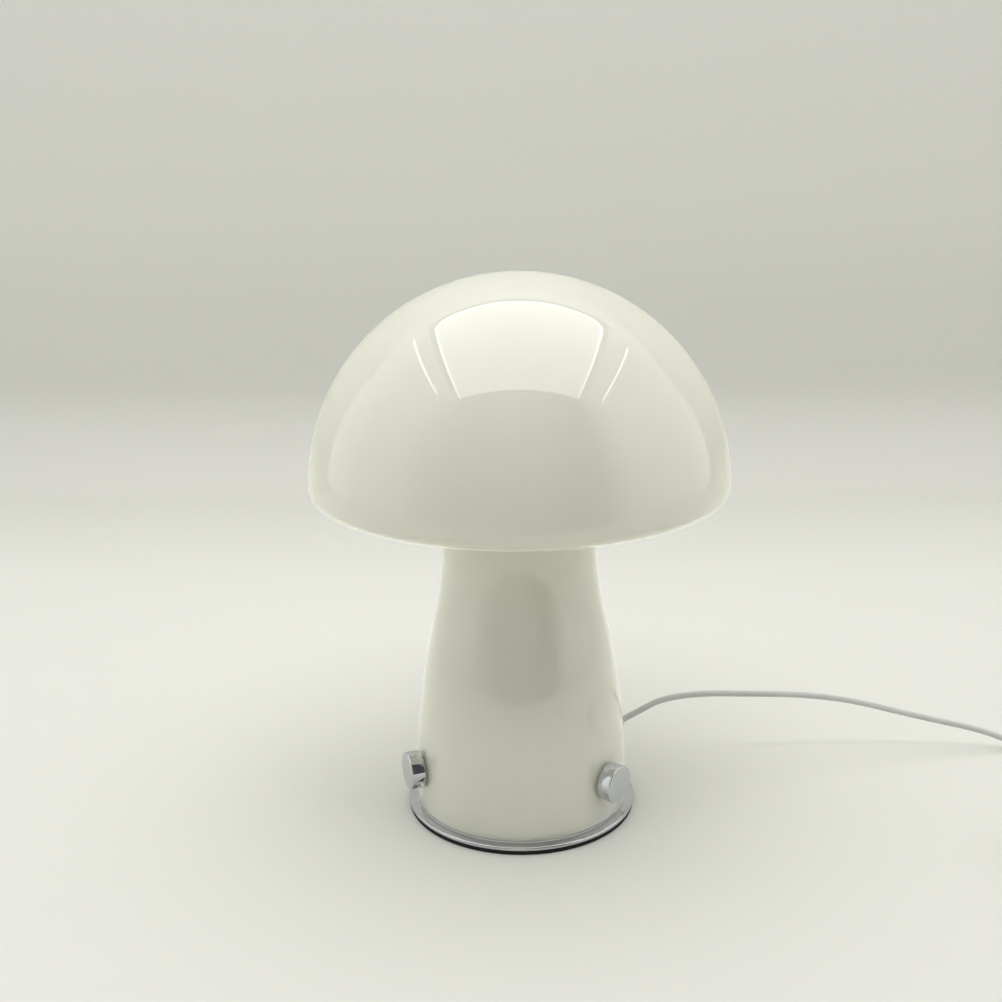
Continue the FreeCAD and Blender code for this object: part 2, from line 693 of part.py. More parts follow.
def make_exit():
    crossing, way = cord_exit()
    nose_tip = crossing + way * NOSE_L
    level = outward(EXIT_AZIMUTH)
    wall = stem_radius(EXIT_Z)
    at_height = UP * EXIT_Z
    inner_face = level * (wall - GLASS_T - GROMMET_GAP - GROMMET_FLANGE_T) + at_height
    outer_face = level * (wall + GROMMET_GAP) + at_height
    body = cylinder(GROMMET_HOLE_R, inner_face, level, GLASS_T + 2 * GROMMET_GAP + 2.0)
    inner_flange = cylinder(GROMMET_FLANGE_R, inner_face, level, GROMMET_FLANGE_T)
    outer_flange = cylinder(GROMMET_FLANGE_R, outer_face, level, GROMMET_FLANGE_T)
    outer_flange = outer_flange.makeFillet(0.5, [outer_flange.Edges[0]])
    nose = cone(GROMMET_HOLE_R, CORD_R + 0.9, crossing + way * 0.6, way, NOSE_L - 0.6)
    grommet = body.fuse([inner_flange, outer_flange, nose])
    bore = cylinder(CORD_R + GRIP_FIT, crossing - way * 15, way, 30)
    save("cord_grommet", grommet.cut(bore).removeSplitter())

    route = [
        nose_tip,
        crossing - way * 13.5,
        in_lead_axes(22.0, 8.0, 16.5),
        in_lead_axes(4.0, CLAMP_ASIDE, CLAMP_CORD_Z),
        in_lead_axes(CLAMP_ENDS[0] - 1.0, CLAMP_ASIDE, CLAMP_CORD_Z),
    ]
    save("lead_inside", tube("lead_inside", smooth_edges("lead_inside", route, CORD_R), CORD_R))

    start = CLAMP_ENDS[0] - 1.0
    runs = {
        "conductor_plus": [
            (start, CLAMP_ASIDE + CONDUCTOR_ASIDE, CLAMP_CORD_Z),
            (start - 6.5, CLAMP_ASIDE + CONDUCTOR_ASIDE, CLAMP_CORD_Z),
            (start - 10.0, 12.0, 13.0),
            (start - 3.5, 2.5, 22.0),
            (*CONDUCTOR_TOPS[0], 34.0),
            (*CONDUCTOR_TOPS[0], WIRE_END_Z),
        ],
        "conductor_minus": [
            (start, CLAMP_ASIDE - CONDUCTOR_ASIDE, CLAMP_CORD_Z),
            (start - 4.5, CLAMP_ASIDE - CONDUCTOR_ASIDE, CLAMP_CORD_Z),
            (start - 7.6, 11.0, 11.5),
            (start - 1.0, 0.5, 20.0),
            (*CONDUCTOR_TOPS[1], 32.0),
            (*CONDUCTOR_TOPS[1], WIRE_END_Z),
        ],
    }
    for name, places in runs.items():
        points = [in_lead_axes(*place) for place in places]
        save(name, tube(name, smooth_edges(name, points, CONDUCTOR_R), CONDUCTOR_R))


def make_clamp():
    """The saddle that grips the lead on the plate, so that a pull never reaches the holder."""
    length = CLAMP_ENDS[1] - CLAMP_ENDS[0]
    width = 2 * CLAMP_HALF_W
    low_top = CLAMP_CORD_Z - CLAMP_SPLIT
    bar_foot = CLAMP_CORD_Z + CLAMP_SPLIT
    low = box(vec(CLAMP_ENDS[0], -CLAMP_HALF_W, PLATE_TOP), (length, width, low_top - PLATE_TOP))
    bar = box(vec(CLAMP_ENDS[0], -CLAMP_HALF_W, bar_foot), (length, width, CLAMP_TOP_Z - bar_foot))
    start = vec(CLAMP_ENDS[0] - 1, 0, CLAMP_CORD_Z)
    groove = cylinder(CORD_R + GRIP_FIT, start, ALONG_X, length + 2)
    low = low.cut(groove)
    bar = bar.cut(groove)
    screw = turned_profile(
        [
            (0, PAD_T + CLAMP_SCREW_END),
            (CLAMP_SCREW_R, PAD_T + CLAMP_SCREW_END),
            (CLAMP_SCREW_R, CLAMP_TOP_Z),
            (CLAMP_SCREW_R + 1.2, CLAMP_TOP_Z),
            (CLAMP_SCREW_R + 1.2, CLAMP_TOP_Z + 0.8),
            (CLAMP_SCREW_R + 0.4, CLAMP_TOP_Z + 1.4),
            (0, CLAMP_TOP_Z + 1.4),
        ]
    )
    middle = sum(CLAMP_ENDS) / 2
    screws = []
    for off in (CLAMP_SCREW_OFF, -CLAMP_SCREW_OFF):
        hole = cylinder(CLAMP_SCREW_R + RUN_FIT, vec(middle, off, PLATE_TOP - 1), UP, 12)
        low = low.cut(hole)
        bar = bar.cut(hole)
        copy = screw.copy()
        copy.translate(vec(middle, off))
        screws.append(copy)
    for name, shapes in (("cord_clamp", [low]), ("clamp_bar", [bar]), ("clamp_screws", screws)):
        placed = []
        for shape in shapes:
            shape.translate(vec(0, CLAMP_ASIDE))
            placed.append(faced(shape, EXIT_AZIMUTH))
        save(name, *placed)


# ---------------------------------------------------------------- lead outside the lamp


def make_cord():
    """The free lead: the arch beside the lamp, the switch, the coil and the plug."""
    crossing, way = cord_exit()
    nose_tip = crossing + way * NOSE_L
    switch_end = SWITCH_L / 2 + BOOT_L
    route = [
        nose_tip,
        nose_tip + way * 11.4,
        vec(70.0, 40.0, 40.7),
        vec(90.0, 46.5, 42.1),
        vec(114.0, 53.0, 40.4),
        vec(142.0, 60.5, 38.5),
        vec(170.0, 68.5, 33.4),
        vec(196.0, 76.0, 24.9),
        vec(220.0, 82.0, 17.9),
        vec(243.0, 86.2, 12.1),
        vec(263.0, 88.6, 4.2),
        vec(278.0, 86.5, 1.7),
        vec(287.0, 79.5, 1.9),
        vec(290.6, 69.5, 4.2),
        vec(SWITCH_X, 59.5, SWITCH_CORD_Z),
        vec(SWITCH_X, SWITCH_Y + switch_end, SWITCH_CORD_Z),
    ]
    save("cord_arch", tube("cord_arch", smooth_edges("cord_arch", route, CORD_R), CORD_R))

    route = [
        vec(SWITCH_X, SWITCH_Y - switch_end, SWITCH_CORD_Z),
        vec(SWITCH_X, SWITCH_Y - switch_end - 6.0, SWITCH_CORD_Z),
        vec(SWITCH_X, COIL_START_Y + 6.0, COIL_Z),
        vec(SWITCH_X, COIL_START_Y, COIL_Z),
    ]
    save("cord_link", tube("cord_link", smooth_edges("cord_link", route, CORD_R), CORD_R))

    coil, coil_end = coil_edges()
    save("cord_coil", tube("cord_coil", coil, CORD_R))
    print("coil's least gap to itself", round(least_gap(coil), 2))

    route = [
        coil_end,
        vec(SWITCH_X, coil_end.y - 8.6, coil_end.z),
        vec(SWITCH_X - 0.4, coil_end.y - 20.6, coil_end.z - 5.4),
        vec(SWITCH_X, PLUG_Y + 8.0, PLUG_Z),
        vec(SWITCH_X, PLUG_Y, PLUG_Z),
    ]
    save("cord_tail", tube("cord_tail", smooth_edges("cord_tail", route, CORD_R), CORD_R))
    make_tie()


def arc_leaving(start, way, end):
    """The arc from start to end that leaves start along a direction."""
    chord = end - start
    aside = unit(way - chord * (way.dot(chord) / chord.dot(chord)))
    height = chord.Length / 2 * math.tan(way.getAngle(chord) / 2)
    return arc(start, start + chord * 0.5 + aside * height, end)


def coil_edges():
    """Turns that spiral in and out again, a layer higher each time the spiral reverses."""
    south = vec(0, -1)
    here = vec(SWITCH_X, COIL_START_Y, COIL_Z)
    start = here + south * (2 * CORD_R)
    edges = [line(here, start)]
    inwards = list(range(2 * COIL_TURNS - 1, -1, -1))
    outwards = list(range(1, 2 * COIL_TURNS + 1))
    here = start
    way = south
    for layer in range(COIL_LAYERS):
        steps = outwards if layer % 2 else inwards
        for step in steps:
            across = 2 * COIL_INNER_R + step * COIL_PITCH
            side = -1 if way.y < 0 else 1
            climbs = step == steps[-1] and layer < COIL_LAYERS - 1
            end = here + vec(side * across, 0, COIL_PITCH if climbs else 0)
            summit = (here + end) * 0.5 + way * ((end - here).Length / 2)
            edges.append(arc_leaving(here, way, summit))
            edges.append(arc_leaving(summit, unit(end - here), end))
            here = end
            way = way * -1
    finish = here + south * (2 * CORD_R)
    edges.append(line(here, finish))
    return edges, finish


def least_gap(edges):
    """The least gap between stretches of the tube more than a quarter turn apart."""
    spacing = 1.0
    points = []
    for edge in edges:
        count = max(2, int(edge.Length / spacing))
        points += edge.discretize(Number=count + 1)[:-1]
    skip = int(COIL_INNER_R * math.pi / 2 / spacing) + 2
    nearest = min(
        a.distanceToPoint(b) for k, a in enumerate(points) for b in points[k + skip :]
    )
    return nearest - 2 * CORD_R


def make_tie():
    """A strap round the bundle of turns on the side away from the lead's ends."""
    outer_w = SWITCH_X - 2 * COIL_INNER_R - 2 * COIL_TURNS * COIL_PITCH
    inner_w = SWITCH_X - 2 * COIL_INNER_R - (2 * COIL_TURNS - 3) * COIL_PITCH
    centre_y = COIL_START_Y - 2 * CORD_R
    clear = CORD_R + TIE_GAP
    low = vec(outer_w - clear, centre_y - TIE_W / 2, COIL_Z - clear)
    size = (
        inner_w - outer_w + 2 * clear,
        TIE_W,
        (COIL_LAYERS - 1) * COIL_PITCH + 2 * clear,
    )
    grow = vec(TIE_T, 0, TIE_T)
    outside = box(low - grow, (size[0] + 2 * TIE_T, size[1], size[2] + 2 * TIE_T))
    inside = box(low - vec(0, 1, 0), (size[0], size[1] + 2, size[2]))
    outside = outside.makeFillet(2.4, [e for e in outside.Edges if abs(e.Length - TIE_W) < 0.01])
    inside = inside.makeFillet(1.8, [e for e in inside.Edges if abs(e.Length - TIE_W - 2) < 0.01])
    save("coil_tie", outside.cut(inside))


# ---------------------------------------------------------------- in-line switch


def on_switch(shape):
    """Move a shape built about the origin, with the lead along +X, to the switch's place."""
    copy = shape.copy()
    copy.rotate(ORIGIN, UP, -90)
    copy.translate(vec(SWITCH_X, SWITCH_Y))
    return copy


def make_switch():
    half_l = SWITCH_L / 2
    half_w = SWITCH_W / 2
    blank = box(vec(-half_l, -half_w, 0), (SWITCH_L, SWITCH_W, SWITCH_H))
    corners = [e for e in blank.Edges if abs(e.Length - SWITCH_H) < 0.01]
    blank = blank.makeFillet(SWITCH_CORNER_R, corners)
    level = [e for e in blank.Edges if e.BoundBox.ZLength < 0.01]
    blank = blank.makeFillet(
        SWITCH_TOP_EDGE_R, [e for e in level if e.BoundBox.ZMin > SWITCH_H - 0.01]
    )
    level = [e for e in blank.Edges if e.BoundBox.ZLength < 0.01]
    blank = blank.makeFillet(SWITCH_LOW_EDGE_R, [e for e in level if e.BoundBox.ZMax < 0.01])
    room_h = SWITCH_H - 2 * SWITCH_WALL
    room = box(
        vec(-half_l + SWITCH_WALL, -half_w + SWITCH_WALL, SWITCH_WALL),
        (SWITCH_L - 2 * SWITCH_WALL, SWITCH_W - 2 * SWITCH_WALL, room_h),
    )
    corners = [e for e in room.Edges if abs(e.Length - room_h) < 0.01]
    room = room.makeFillet(SWITCH_CORNER_R - SWITCH_WALL, corners)
    posts = [vec(half_l - POST_IN, 0), vec(-half_l + POST_IN, 0)]
    for post in posts:
        room = room.cut(cylinder(POST_R, post, UP, SWITCH_H))
    shell = blank.cut(room)
    for side in (1, -1):
        start = vec(side * (half_l - 3.0), 0, SWITCH_CORD_Z)
        shell = shell.cut(cylinder(SWITCH_MOUTH_R, start, ALONG_X * side, 9))
    low_half = (SWITCH_L + 2, SWITCH_W + 2, SWITCH_H / 2 + 1)
    below = box(vec(-half_l - 1, -half_w - 1, -1), low_half)
    lower = shell.common(below)
    upper = shell.cut(below)

    window = box(
        vec(-ROCKER_L / 2 - 0.9, -ROCKER_W / 2 - 0.3, SWITCH_H - SWITCH_WALL - 1),
        (ROCKER_L + 1.8, ROCKER_W + 0.6, SWITCH_WALL + 2),
    )
    upper = upper.cut(window)
    lug_z = PIN_Z + 0.4 - LUG[2]
    lug_y = ROCKER_W / 2 + 0.4
    lugs = [box(vec(-LUG[0] / 2, y, lug_z), LUG) for y in (lug_y, -lug_y - LUG[1])]
    upper = upper.fuse(lugs).removeSplitter()
    pin_half = ROCKER_W / 2 + 1.6
    across = vec(0, 1)
    pin = cylinder(PIN_R, vec(0, -pin_half, PIN_Z), across, 2 * pin_half)
    pin_room = cylinder(PIN_R + 0.02, vec(0, -pin_half - 0.1, PIN_Z), across, 2 * pin_half + 0.2)
    upper = upper.cut(pin_room)

    half_r = ROCKER_L / 2
    outline = [
        vec(-half_r, -ROCKER_W / 2, PIN_Z - ROCKER_DEPTH),
        vec(half_r, -ROCKER_W / 2, PIN_Z - ROCKER_DEPTH),
        vec(half_r, -ROCKER_W / 2, PIN_Z + ROCKER_EARS),
        vec(0, -ROCKER_W / 2, PIN_Z + ROCKER_EARS - 1.0),
        vec(-half_r, -ROCKER_W / 2, PIN_Z + ROCKER_EARS),
    ]
    rocker = Part.Face(Part.makePolygon(outline + outline[:1])).extrude(vec(0, ROCKER_W))
    rocker = rocker.cut(cylinder(PIN_R + RUN_FIT, vec(0, -ROCKER_W, PIN_Z), across, 2 * ROCKER_W))
    rocker.rotate(vec(0, 0, PIN_Z), across, ROCKER_TILT)

    screw = switch_screw(0.0, 0.3)
    cutter = switch_screw(RUN_FIT, -1.0)
    screws = []
    for post in posts:
        room = cutter.copy()
        room.translate(post)
        lower = lower.cut(room)
        upper = upper.cut(room)
        copy = screw.copy()
        copy.translate(post)
        screws.append(on_switch(copy))
    contacts = []
    for side, height in zip((1, -1), SWITCH_POST_H):
        x = side * SWITCH_STRIP_X
        strip = box(vec(x - SWITCH_STRIP[0] / 2, -SWITCH_STRIP[1] / 2, SWITCH_WALL), SWITCH_STRIP)
        blade = (SWITCH_STRIP[2], SWITCH_STRIP[1], height)
        post = box(vec(x - blade[0] / 2, -blade[1] / 2, SWITCH_WALL), blade)
        contacts.append(on_switch(strip.fuse(post).removeSplitter()))
    boots = []
    for side in (1, -1):
        way = ALONG_X * side
        boot = cylinder(BOOT_PLUG_R, vec(side * (half_l - 2.5), 0, SWITCH_CORD_Z), way, 3.0)
        root = vec(side * (half_l + BOOT_GAP), 0, SWITCH_CORD_Z)
        boot = boot.fuse(cone(BOOT_ROOT_R, BOOT_TIP_R, root, way, BOOT_L - BOOT_GAP))
        boots.append(on_switch(boot.removeSplitter()))
    through = cylinder(CONDUCTOR_R, vec(-half_l + 5.0, 5.0, 3.0), ALONG_X, SWITCH_L - 10.0)
    save("switch_lower", on_switch(lower))
    save("switch_upper", on_switch(upper))
    save("switch_pin", on_switch(pin))
    save("switch_rocker", on_switch(rocker))
    save("switch_screws", *screws)
    save("switch_contacts", *contacts)
    save("switch_boots", *boots)
    save("switch_conductor", on_switch(through))


def switch_screw(fit, foot):
    """A case screw, or with a fit the room for it, from a foot level upwards."""
    head_r = SWITCH_SCREW_HEAD_R + 2 * fit
    shank_r = SWITCH_SCREW_R + fit
    shoulder = 0.8 + fit
    end = SWITCH_SCREW_END_Z + 8 * fit
    outline = [
        (0, foot),
        (head_r, foot),
        (head_r, shoulder),
        (shank_r, shoulder + head_r - shank_r - 0.2),
        (shank_r, end),
        (0, end),
    ]
    return turned_profile(outline)


# ---------------------------------------------------------------- plug


def on_plug(shape):
    copy = shape.copy()
    copy.rotate(ORIGIN, UP, -90)
    copy.translate(vec(SWITCH_X, PLUG_Y, PLUG_Z))
    return copy


def centred_box(start_x, size):
    return box(vec(start_x, -size[1] / 2, -size[2] / 2), size)


def make_plug():
    body = centred_box(PLUG_NOSE_L, PLUG_BODY)
    body = body.makeFillet(PLUG_EDGE_R, [e for e in body.Edges if e.Length > PLUG_BODY[0] - 0.01])
    nose = cone(PLUG_NOSE_TIP_R, PLUG_NOSE_ROOT_R, ORIGIN, ALONG_X, PLUG_NOSE_L + 1.0)
    body = body.fuse(nose).removeSplitter()
    body_end = PLUG_NOSE_L + PLUG_BODY[0]
    shell_l, shell_w, shell_h = PLUG_SHELL
    shell_start = body_end + PLUG_SHELL_OUT - shell_l
    seat = (shell_l, shell_w + 2 * PLUG_SHELL_FIT, shell_h + 2 * PLUG_SHELL_FIT)
    body = body.cut(centred_box(shell_start, seat))
    inner_w = shell_w - 2 * PLUG_SHELL_WALL
    inner_h = shell_h - 2 * PLUG_SHELL_WALL
    shell = centred_box(shell_start, PLUG_SHELL)
    shell = shell.cut(centred_box(shell_start - 1, (shell_l + 2, inner_w, inner_h)))
    for y in (-PLUG_WINDOW_Y, PLUG_WINDOW_Y):
        start = vec(body_end + PLUG_WINDOW_X, y - PLUG_WINDOW[1] / 2, -PLUG_WINDOW[2] / 2)
        shell = shell.cut(box(start, PLUG_WINDOW))
    tongue_low = -inner_h / 2 + TONGUE_FIT
    tongue = box(
        vec(shell_start + 0.2, -inner_w / 2 + TONGUE_FIT, tongue_low),
        (shell_l - 0.8, inner_w - 2 * TONGUE_FIT, TONGUE_T),
    )
    contacts = []
    for y in PLUG_CONTACT_Y:
        start = vec(shell_start + 1.5, y - PLUG_CONTACT[1] / 2, tongue_low + TONGUE_T)
        contacts.append(on_plug(box(start, PLUG_CONTACT)))
    save("plug_body", on_plug(body))
    save("plug_shell", on_plug(shell))
    save("plug_tongue", on_plug(tongue))
    save("plug_contacts", *contacts)


os.makedirs("parts", exist_ok=True)
make_foot()
make_glass()
make_screws()
make_column()
make_lampholder()
make_bulb()
make_exit()
make_clamp()
make_cord()
make_switch()
make_plug()
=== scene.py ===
"""Mushroom table lamp: finishes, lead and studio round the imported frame.

The axes are the lamp's own: the origin is the centre of the foot pad's underside, +Z is
up and the front of the lamp faces -Y. Sizes of the lamp are named in millimetres, which
MM turns into metres, and sizes of the studio are named in metres.
"""

import json
import math

import bpy
from mathutils import Matrix, Vector


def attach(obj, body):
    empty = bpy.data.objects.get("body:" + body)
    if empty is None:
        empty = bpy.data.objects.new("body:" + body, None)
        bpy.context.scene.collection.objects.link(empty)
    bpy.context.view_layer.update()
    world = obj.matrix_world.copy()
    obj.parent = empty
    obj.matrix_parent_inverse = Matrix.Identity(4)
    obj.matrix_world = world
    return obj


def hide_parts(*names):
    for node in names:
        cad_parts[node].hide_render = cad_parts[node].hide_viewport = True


MM = 0.001

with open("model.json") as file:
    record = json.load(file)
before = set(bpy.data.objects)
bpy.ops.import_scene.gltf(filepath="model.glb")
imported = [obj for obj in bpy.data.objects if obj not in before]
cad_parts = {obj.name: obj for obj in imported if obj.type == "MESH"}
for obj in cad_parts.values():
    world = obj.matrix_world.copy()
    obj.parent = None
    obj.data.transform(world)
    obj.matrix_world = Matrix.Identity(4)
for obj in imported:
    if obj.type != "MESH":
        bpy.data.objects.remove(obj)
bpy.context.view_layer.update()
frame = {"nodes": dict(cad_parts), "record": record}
nodes = frame["nodes"]

# ---------------------------------------------------------------- camera

PHOTO_TURN = math.radians(8.3)  # the camera stands this far round from the lamp's front
TO_STUDIO = Matrix.Rotation(PHOTO_TURN, 4, "Z")
SENSOR_W = 36.0
LENS = 43.114
CLIP_START = 0.01
CAMERA_PLACE = (0.0809034, -0.5545724, 0.3029178)  # metres
CAMERA_TURN = (75.4186, 0.6122, 9.0334)  # degrees about X, Y and Z

camera_data = bpy.data.cameras.new("camera")
camera_data.sensor_fit = "HORIZONTAL"
camera_data.sensor_width = SENSOR_W
camera_data.lens = LENS
camera_data.clip_start = CLIP_START
camera = bpy.data.objects.new("camera", camera_data)
camera.location = CAMERA_PLACE
camera.rotation_euler = [math.radians(angle) for angle in CAMERA_TURN]
bpy.context.scene.collection.objects.link(camera)
bpy.context.scene.camera = camera
bpy.context.scene.view_settings.view_transform = "Standard"

# ---------------------------------------------------------------- materials

NOISE_LOW = 0.35  # Blender's noise lies mostly between these two values
NOISE_HIGH = 0.65


def srgb(code):
    """A linear colour from an sRGB hex value."""
    channels = [int(code[i : i + 2], 16) / 255 for i in (1, 3, 5)]
    return tuple(
        c / 12.92 if c <= 0.04045 else ((c + 0.055) / 1.055) ** 2.4 for c in channels
    ) + (1.0,)


def add(tree, kind, inputs=(), **settings):
    """Add a node with its settings; an input is a value, or the socket that feeds it."""
    node = tree.nodes.new("ShaderNode" + kind)
    for key, value in settings.items():
        setattr(node, key, value)
    for key, value in dict(inputs).items():
        if isinstance(value, bpy.types.NodeSocket):
            tree.links.new(value, node.inputs[key])
        else:
            node.inputs[key].default_value = value
    return node


def new_material(name):
    """A node material, still empty, and its tree."""
    material = bpy.data.materials.new(name)
    material.use_nodes = True
    material.node_tree.nodes.clear()
    return material, material.node_tree


def ripple(tree, coords, wave_mm, depth_mm):
    """A bump of soft noise: the distance between its hills and their height, in mm."""
    noise = add(
        tree,
        "TexNoise",
        {"Vector": coords, "Scale": 1 / (wave_mm * MM), "Detail": 2.0, "Roughness": 0.5},
    )
    return add(
        tree,
        "Bump",
        {"Height": noise.outputs["Fac"], "Distance": depth_mm * MM, "Strength": 1.0},
    ).outputs["Normal"]


def blotches(tree, coords, wave_mm, colours):
    """Soft patches between two close colours."""
    noise = add(tree, "TexNoise", {"Vector": coords, "Scale": 1 / (wave_mm * MM), "Detail": 3.0})
    ramp = add(tree, "ValToRGB", {"Fac": noise.outputs["Fac"]})
    ramp.color_ramp.elements[0].position = NOISE_LOW
    ramp.color_ramp.elements[1].position = NOISE_HIGH
    for element, code in zip(ramp.color_ramp.elements, colours):
        element.color = srgb(code)
    return ramp.outputs["Color"]


def patchy(tree, coords, wave_mm, low, high):
    """A value that wanders between two limits, such as a roughness with finger marks."""
    noise = add(tree, "TexNoise", {"Vector": coords, "Scale": 1 / (wave_mm * MM), "Detail": 4.0})
    return add(
        tree,
        "MapRange",
        {
            "Value": noise.outputs["Fac"],
            "From Min": NOISE_LOW,
            "From Max": NOISE_HIGH,
            "To Min": low,
            "To Max": high,
        },
    ).outputs["Result"]


def surface(
    name,
    colours,
    colour_mm,
    roughness,
    roughness_mm,
    bump_mm,
    bump_depth_mm,
    let_through=None,
    **constants,
):
    """A finish whose colour and roughness vary between two limits, each at a real scale.
    let_through is the colour of the light that comes out on its far side."""
    material, tree = new_material(name)
    coords = add(tree, "TexCoord").outputs["Object"]
    inputs = {
        "Base Color": blotches(tree, coords, colour_mm, colours),
        "Roughness": patchy(tree, coords, roughness_mm, *roughness),
        "Normal": ripple(tree, coords, bump_mm, bump_depth_mm),
    }
    for key, value in constants.items():
        inputs[key.replace("_", " ")] = value
    shader = add(tree, "BsdfPrincipled", inputs).outputs["BSDF"]
    if let_through:
        milk = add(tree, "BsdfTranslucent", {"Color": srgb(let_through)}).outputs["BSDF"]
        shader = add(tree, "AddShader", {0: shader, 1: milk}).outputs["Shader"]
    add(tree, "OutputMaterial", {"Surface": shader})
    return material


# Cased opal glass, mouth-blown and fire-polished: milky through its whole thickness under
# a mirror-smooth clear skin, with the slow waviness of blown glass.
opal_glass = surface(
    "opal_glass",
    colours=("#C4C4BA", "#C7C7BE"),
    colour_mm=60,
    roughness=(0.008, 0.022),
    roughness_mm=25,
    bump_mm=38,
    bump_depth_mm=0.03,
    let_through="#A1A19B",
    IOR=1.5,
    Coat_Weight=1.0,
    Coat_Roughness=0.01,
)
# Bright chromium plate on polished steel: a cool grey mirror with faint wiping marks.
chrome = surface(
    "polished_chrome_plate",
    colours=("#C3C6CA", "#CDD0D3"),
    colour_mm=30,
    roughness=(0.04, 0.09),
    roughness_mm=6,
    bump_mm=9,
    bump_depth_mm=0.002,
    Metallic=1.0,
)
# Zinc-plated mild steel, bright passivated: satin grey with a faint blue cloud.
zinc = surface(
    "zinc_plated_steel",
    colours=("#A9AEB3", "#BFC1C2"),
    colour_mm=6,
    roughness=(0.28, 0.42),
    roughness_mm=3,
    bump_mm=0.5,
    bump_depth_mm=0.004,
    Metallic=1.0,
)
# Closed-cell EVA foam: dull black with fine open cells at the cut face.
eva_foam = surface(
    "eva_foam",
    colours=("#0C0C0D", "#131314"),
    colour_mm=8,
    roughness=(0.8, 0.92),
    roughness_mm=4,
    bump_mm=0.6,
    bump_depth_mm=0.06,
)
# Clear silicone: a soft, faintly milky rubber that takes the tone of what it lies on.
silicone = surface(
    "clear_silicone",
    colours=("#D9DBD8", "#E2E3E0"),
    colour_mm=10,
    roughness=(0.35, 0.45),
    roughness_mm=5,
    bump_mm=1.5,
    bump_depth_mm=0.01,
    Subsurface_Weight=0.4,
    Subsurface_Radius=(0.002, 0.002, 0.002),
    Subsurface_Scale=1.0,
)
# Plasticised PVC lead sheath: white, soft sheen, with the slight unevenness of extrusion.
pvc = surface(
    "white_pvc_sheath",
    colours=("#C5C5C2", "#CCCCC9"),
    colour_mm=14,
    roughness=(0.32, 0.42),
    roughness_mm=5,
    bump_mm=2.2,
    bump_depth_mm=0.015,
    Subsurface_Weight=0.15,
    Subsurface_Radius=(0.0008, 0.0008, 0.0007),
    Subsurface_Scale=1.0,
)
# Moulded ABS with a fine spark-eroded texture, drawn at 0.35 mm so that it shows.
abs_white = surface(
    "moulded_white_abs",
    colours=("#E9E9E3", "#EEEEE9"),
    colour_mm=20,
    roughness=(0.38, 0.48),
    roughness_mm=6,
    bump_mm=0.35,
    bump_depth_mm=0.012,
)
# Glass-filled nylon of the lampholder: white, matt, slightly mottled.
nylon = surface(
    "moulded_white_nylon",
    colours=("#DEDDD5", "#E5E4DD"),
    colour_mm=5,
    roughness=(0.5, 0.6),
    roughness_mm=3,
    bump_mm=0.4,
    bump_depth_mm=0.015,
)
# Rolled brass strip: warm yellow with light tarnish.
brass = surface(
    "rolled_brass",
    colours=("#B8955A", "#CDAE72"),
    colour_mm=3,
    roughness=(0.2, 0.34),
    roughness_mm=2,
    bump_mm=0.4,
    bump_depth_mm=0.003,
    Metallic=1.0,
)
# Bright nickel over deep-drawn steel: warmer and softer than chrome.
nickel = surface(
    "bright_nickel",
    colours=("#BDB9B0", "#C9C6BE"),
    colour_mm=6,
    roughness=(0.14, 0.24),
    roughness_mm=3,
    bump_mm=0.7,
    bump_depth_mm=0.003,
    Metallic=1.0,
)
# Black phenolic insulator of the bulb's cap: dense and faintly glossy.
phenolic = surface(
    "black_phenolic",
    colours=("#17181A", "#202123"),
    colour_mm=3,
    roughness=(0.3, 0.4),
    roughness_mm=2,
    bump_mm=0.5,
    bump_depth_mm=0.008,
)
# Glass-epoxy circuit board under green solder mask.
board_green = surface(
    "green_solder_mask",
    colours=("#1E5A38", "#246542"),
    colour_mm=2.5,
    roughness=(0.28, 0.4),
    roughness_mm=2,
    bump_mm=0.6,
    bump_depth_mm=0.01,
)
# Aluminium-core board under white solder mask.
board_white = surface(
    "white_solder_mask",
    colours=("#E8E8E2", "#F0F0EB"),
    colour_mm=3,
    roughness=(0.35, 0.45),
    roughness_mm=2,
    bump_mm=0.8,
    bump_depth_mm=0.006,
)
# Silicone loaded with yellow phosphor on the LED packages.
phosphor = surface(
    "yellow_phosphor",
    colours=("#D9C35A", "#E6D272"),
    colour_mm=1.2,
    roughness=(0.45, 0.55),
    roughness_mm=1,
    bump_mm=0.3,
    bump_depth_mm=0.008,
)
# Frosted polycarbonate of the bulb's globe: milky, with a satin moulded face.
frosted = surface(
    "frosted_polycarbonate",
    colours=("#EDEDE8", "#F3F3EF"),
    colour_mm=15,
    roughness=(0.42, 0.52),
    roughness_mm=5,
    bump_mm=0.4,
    bump_depth_mm=0.01,
    Subsurface_Weight=0.4,
    Subsurface_Radius=(0.003, 0.003, 0.003),
    Subsurface_Scale=1.0,
)
# Thermally conductive white nylon of the bulb's body.
bulb_plastic = surface(
    "bulb_body_plastic",
    colours=("#E4E4DE", "#EAEAE5"),
    colour_mm=10,
    roughness=(0.45, 0.55),
    roughness_mm=4,
    bump_mm=0.45,
    bump_depth_mm=0.012,
)
# Thin PVC insulation of the inner wires: red for plus, black for minus.
red_wire = surface(
    "red_wire_insulation",
    colours=("#9C2F28", "#AD3A31"),
    colour_mm=3,
    roughness=(0.35, 0.45),
    roughness_mm=2,
    bump_mm=0.8,
    bump_depth_mm=0.01,
)
black_wire = surface(
    "black_wire_insulation",
    colours=("#1B1B1C", "#252526"),
    colour_mm=3,
    roughness=(0.35, 0.45),
    roughness_mm=2,
    bump_mm=0.8,
    bump_depth_mm=0.01,
)
# White liquid-crystal polymer tongue of the plug.
tongue_plastic = surface(
    "plug_tongue_polymer",
    colours=("#E7E7E2", "#EFEFEB"),
    colour_mm=3,
    roughness=(0.4, 0.5),
    roughness_mm=2,
    bump_mm=0.4,
    bump_depth_mm=0.006,
)
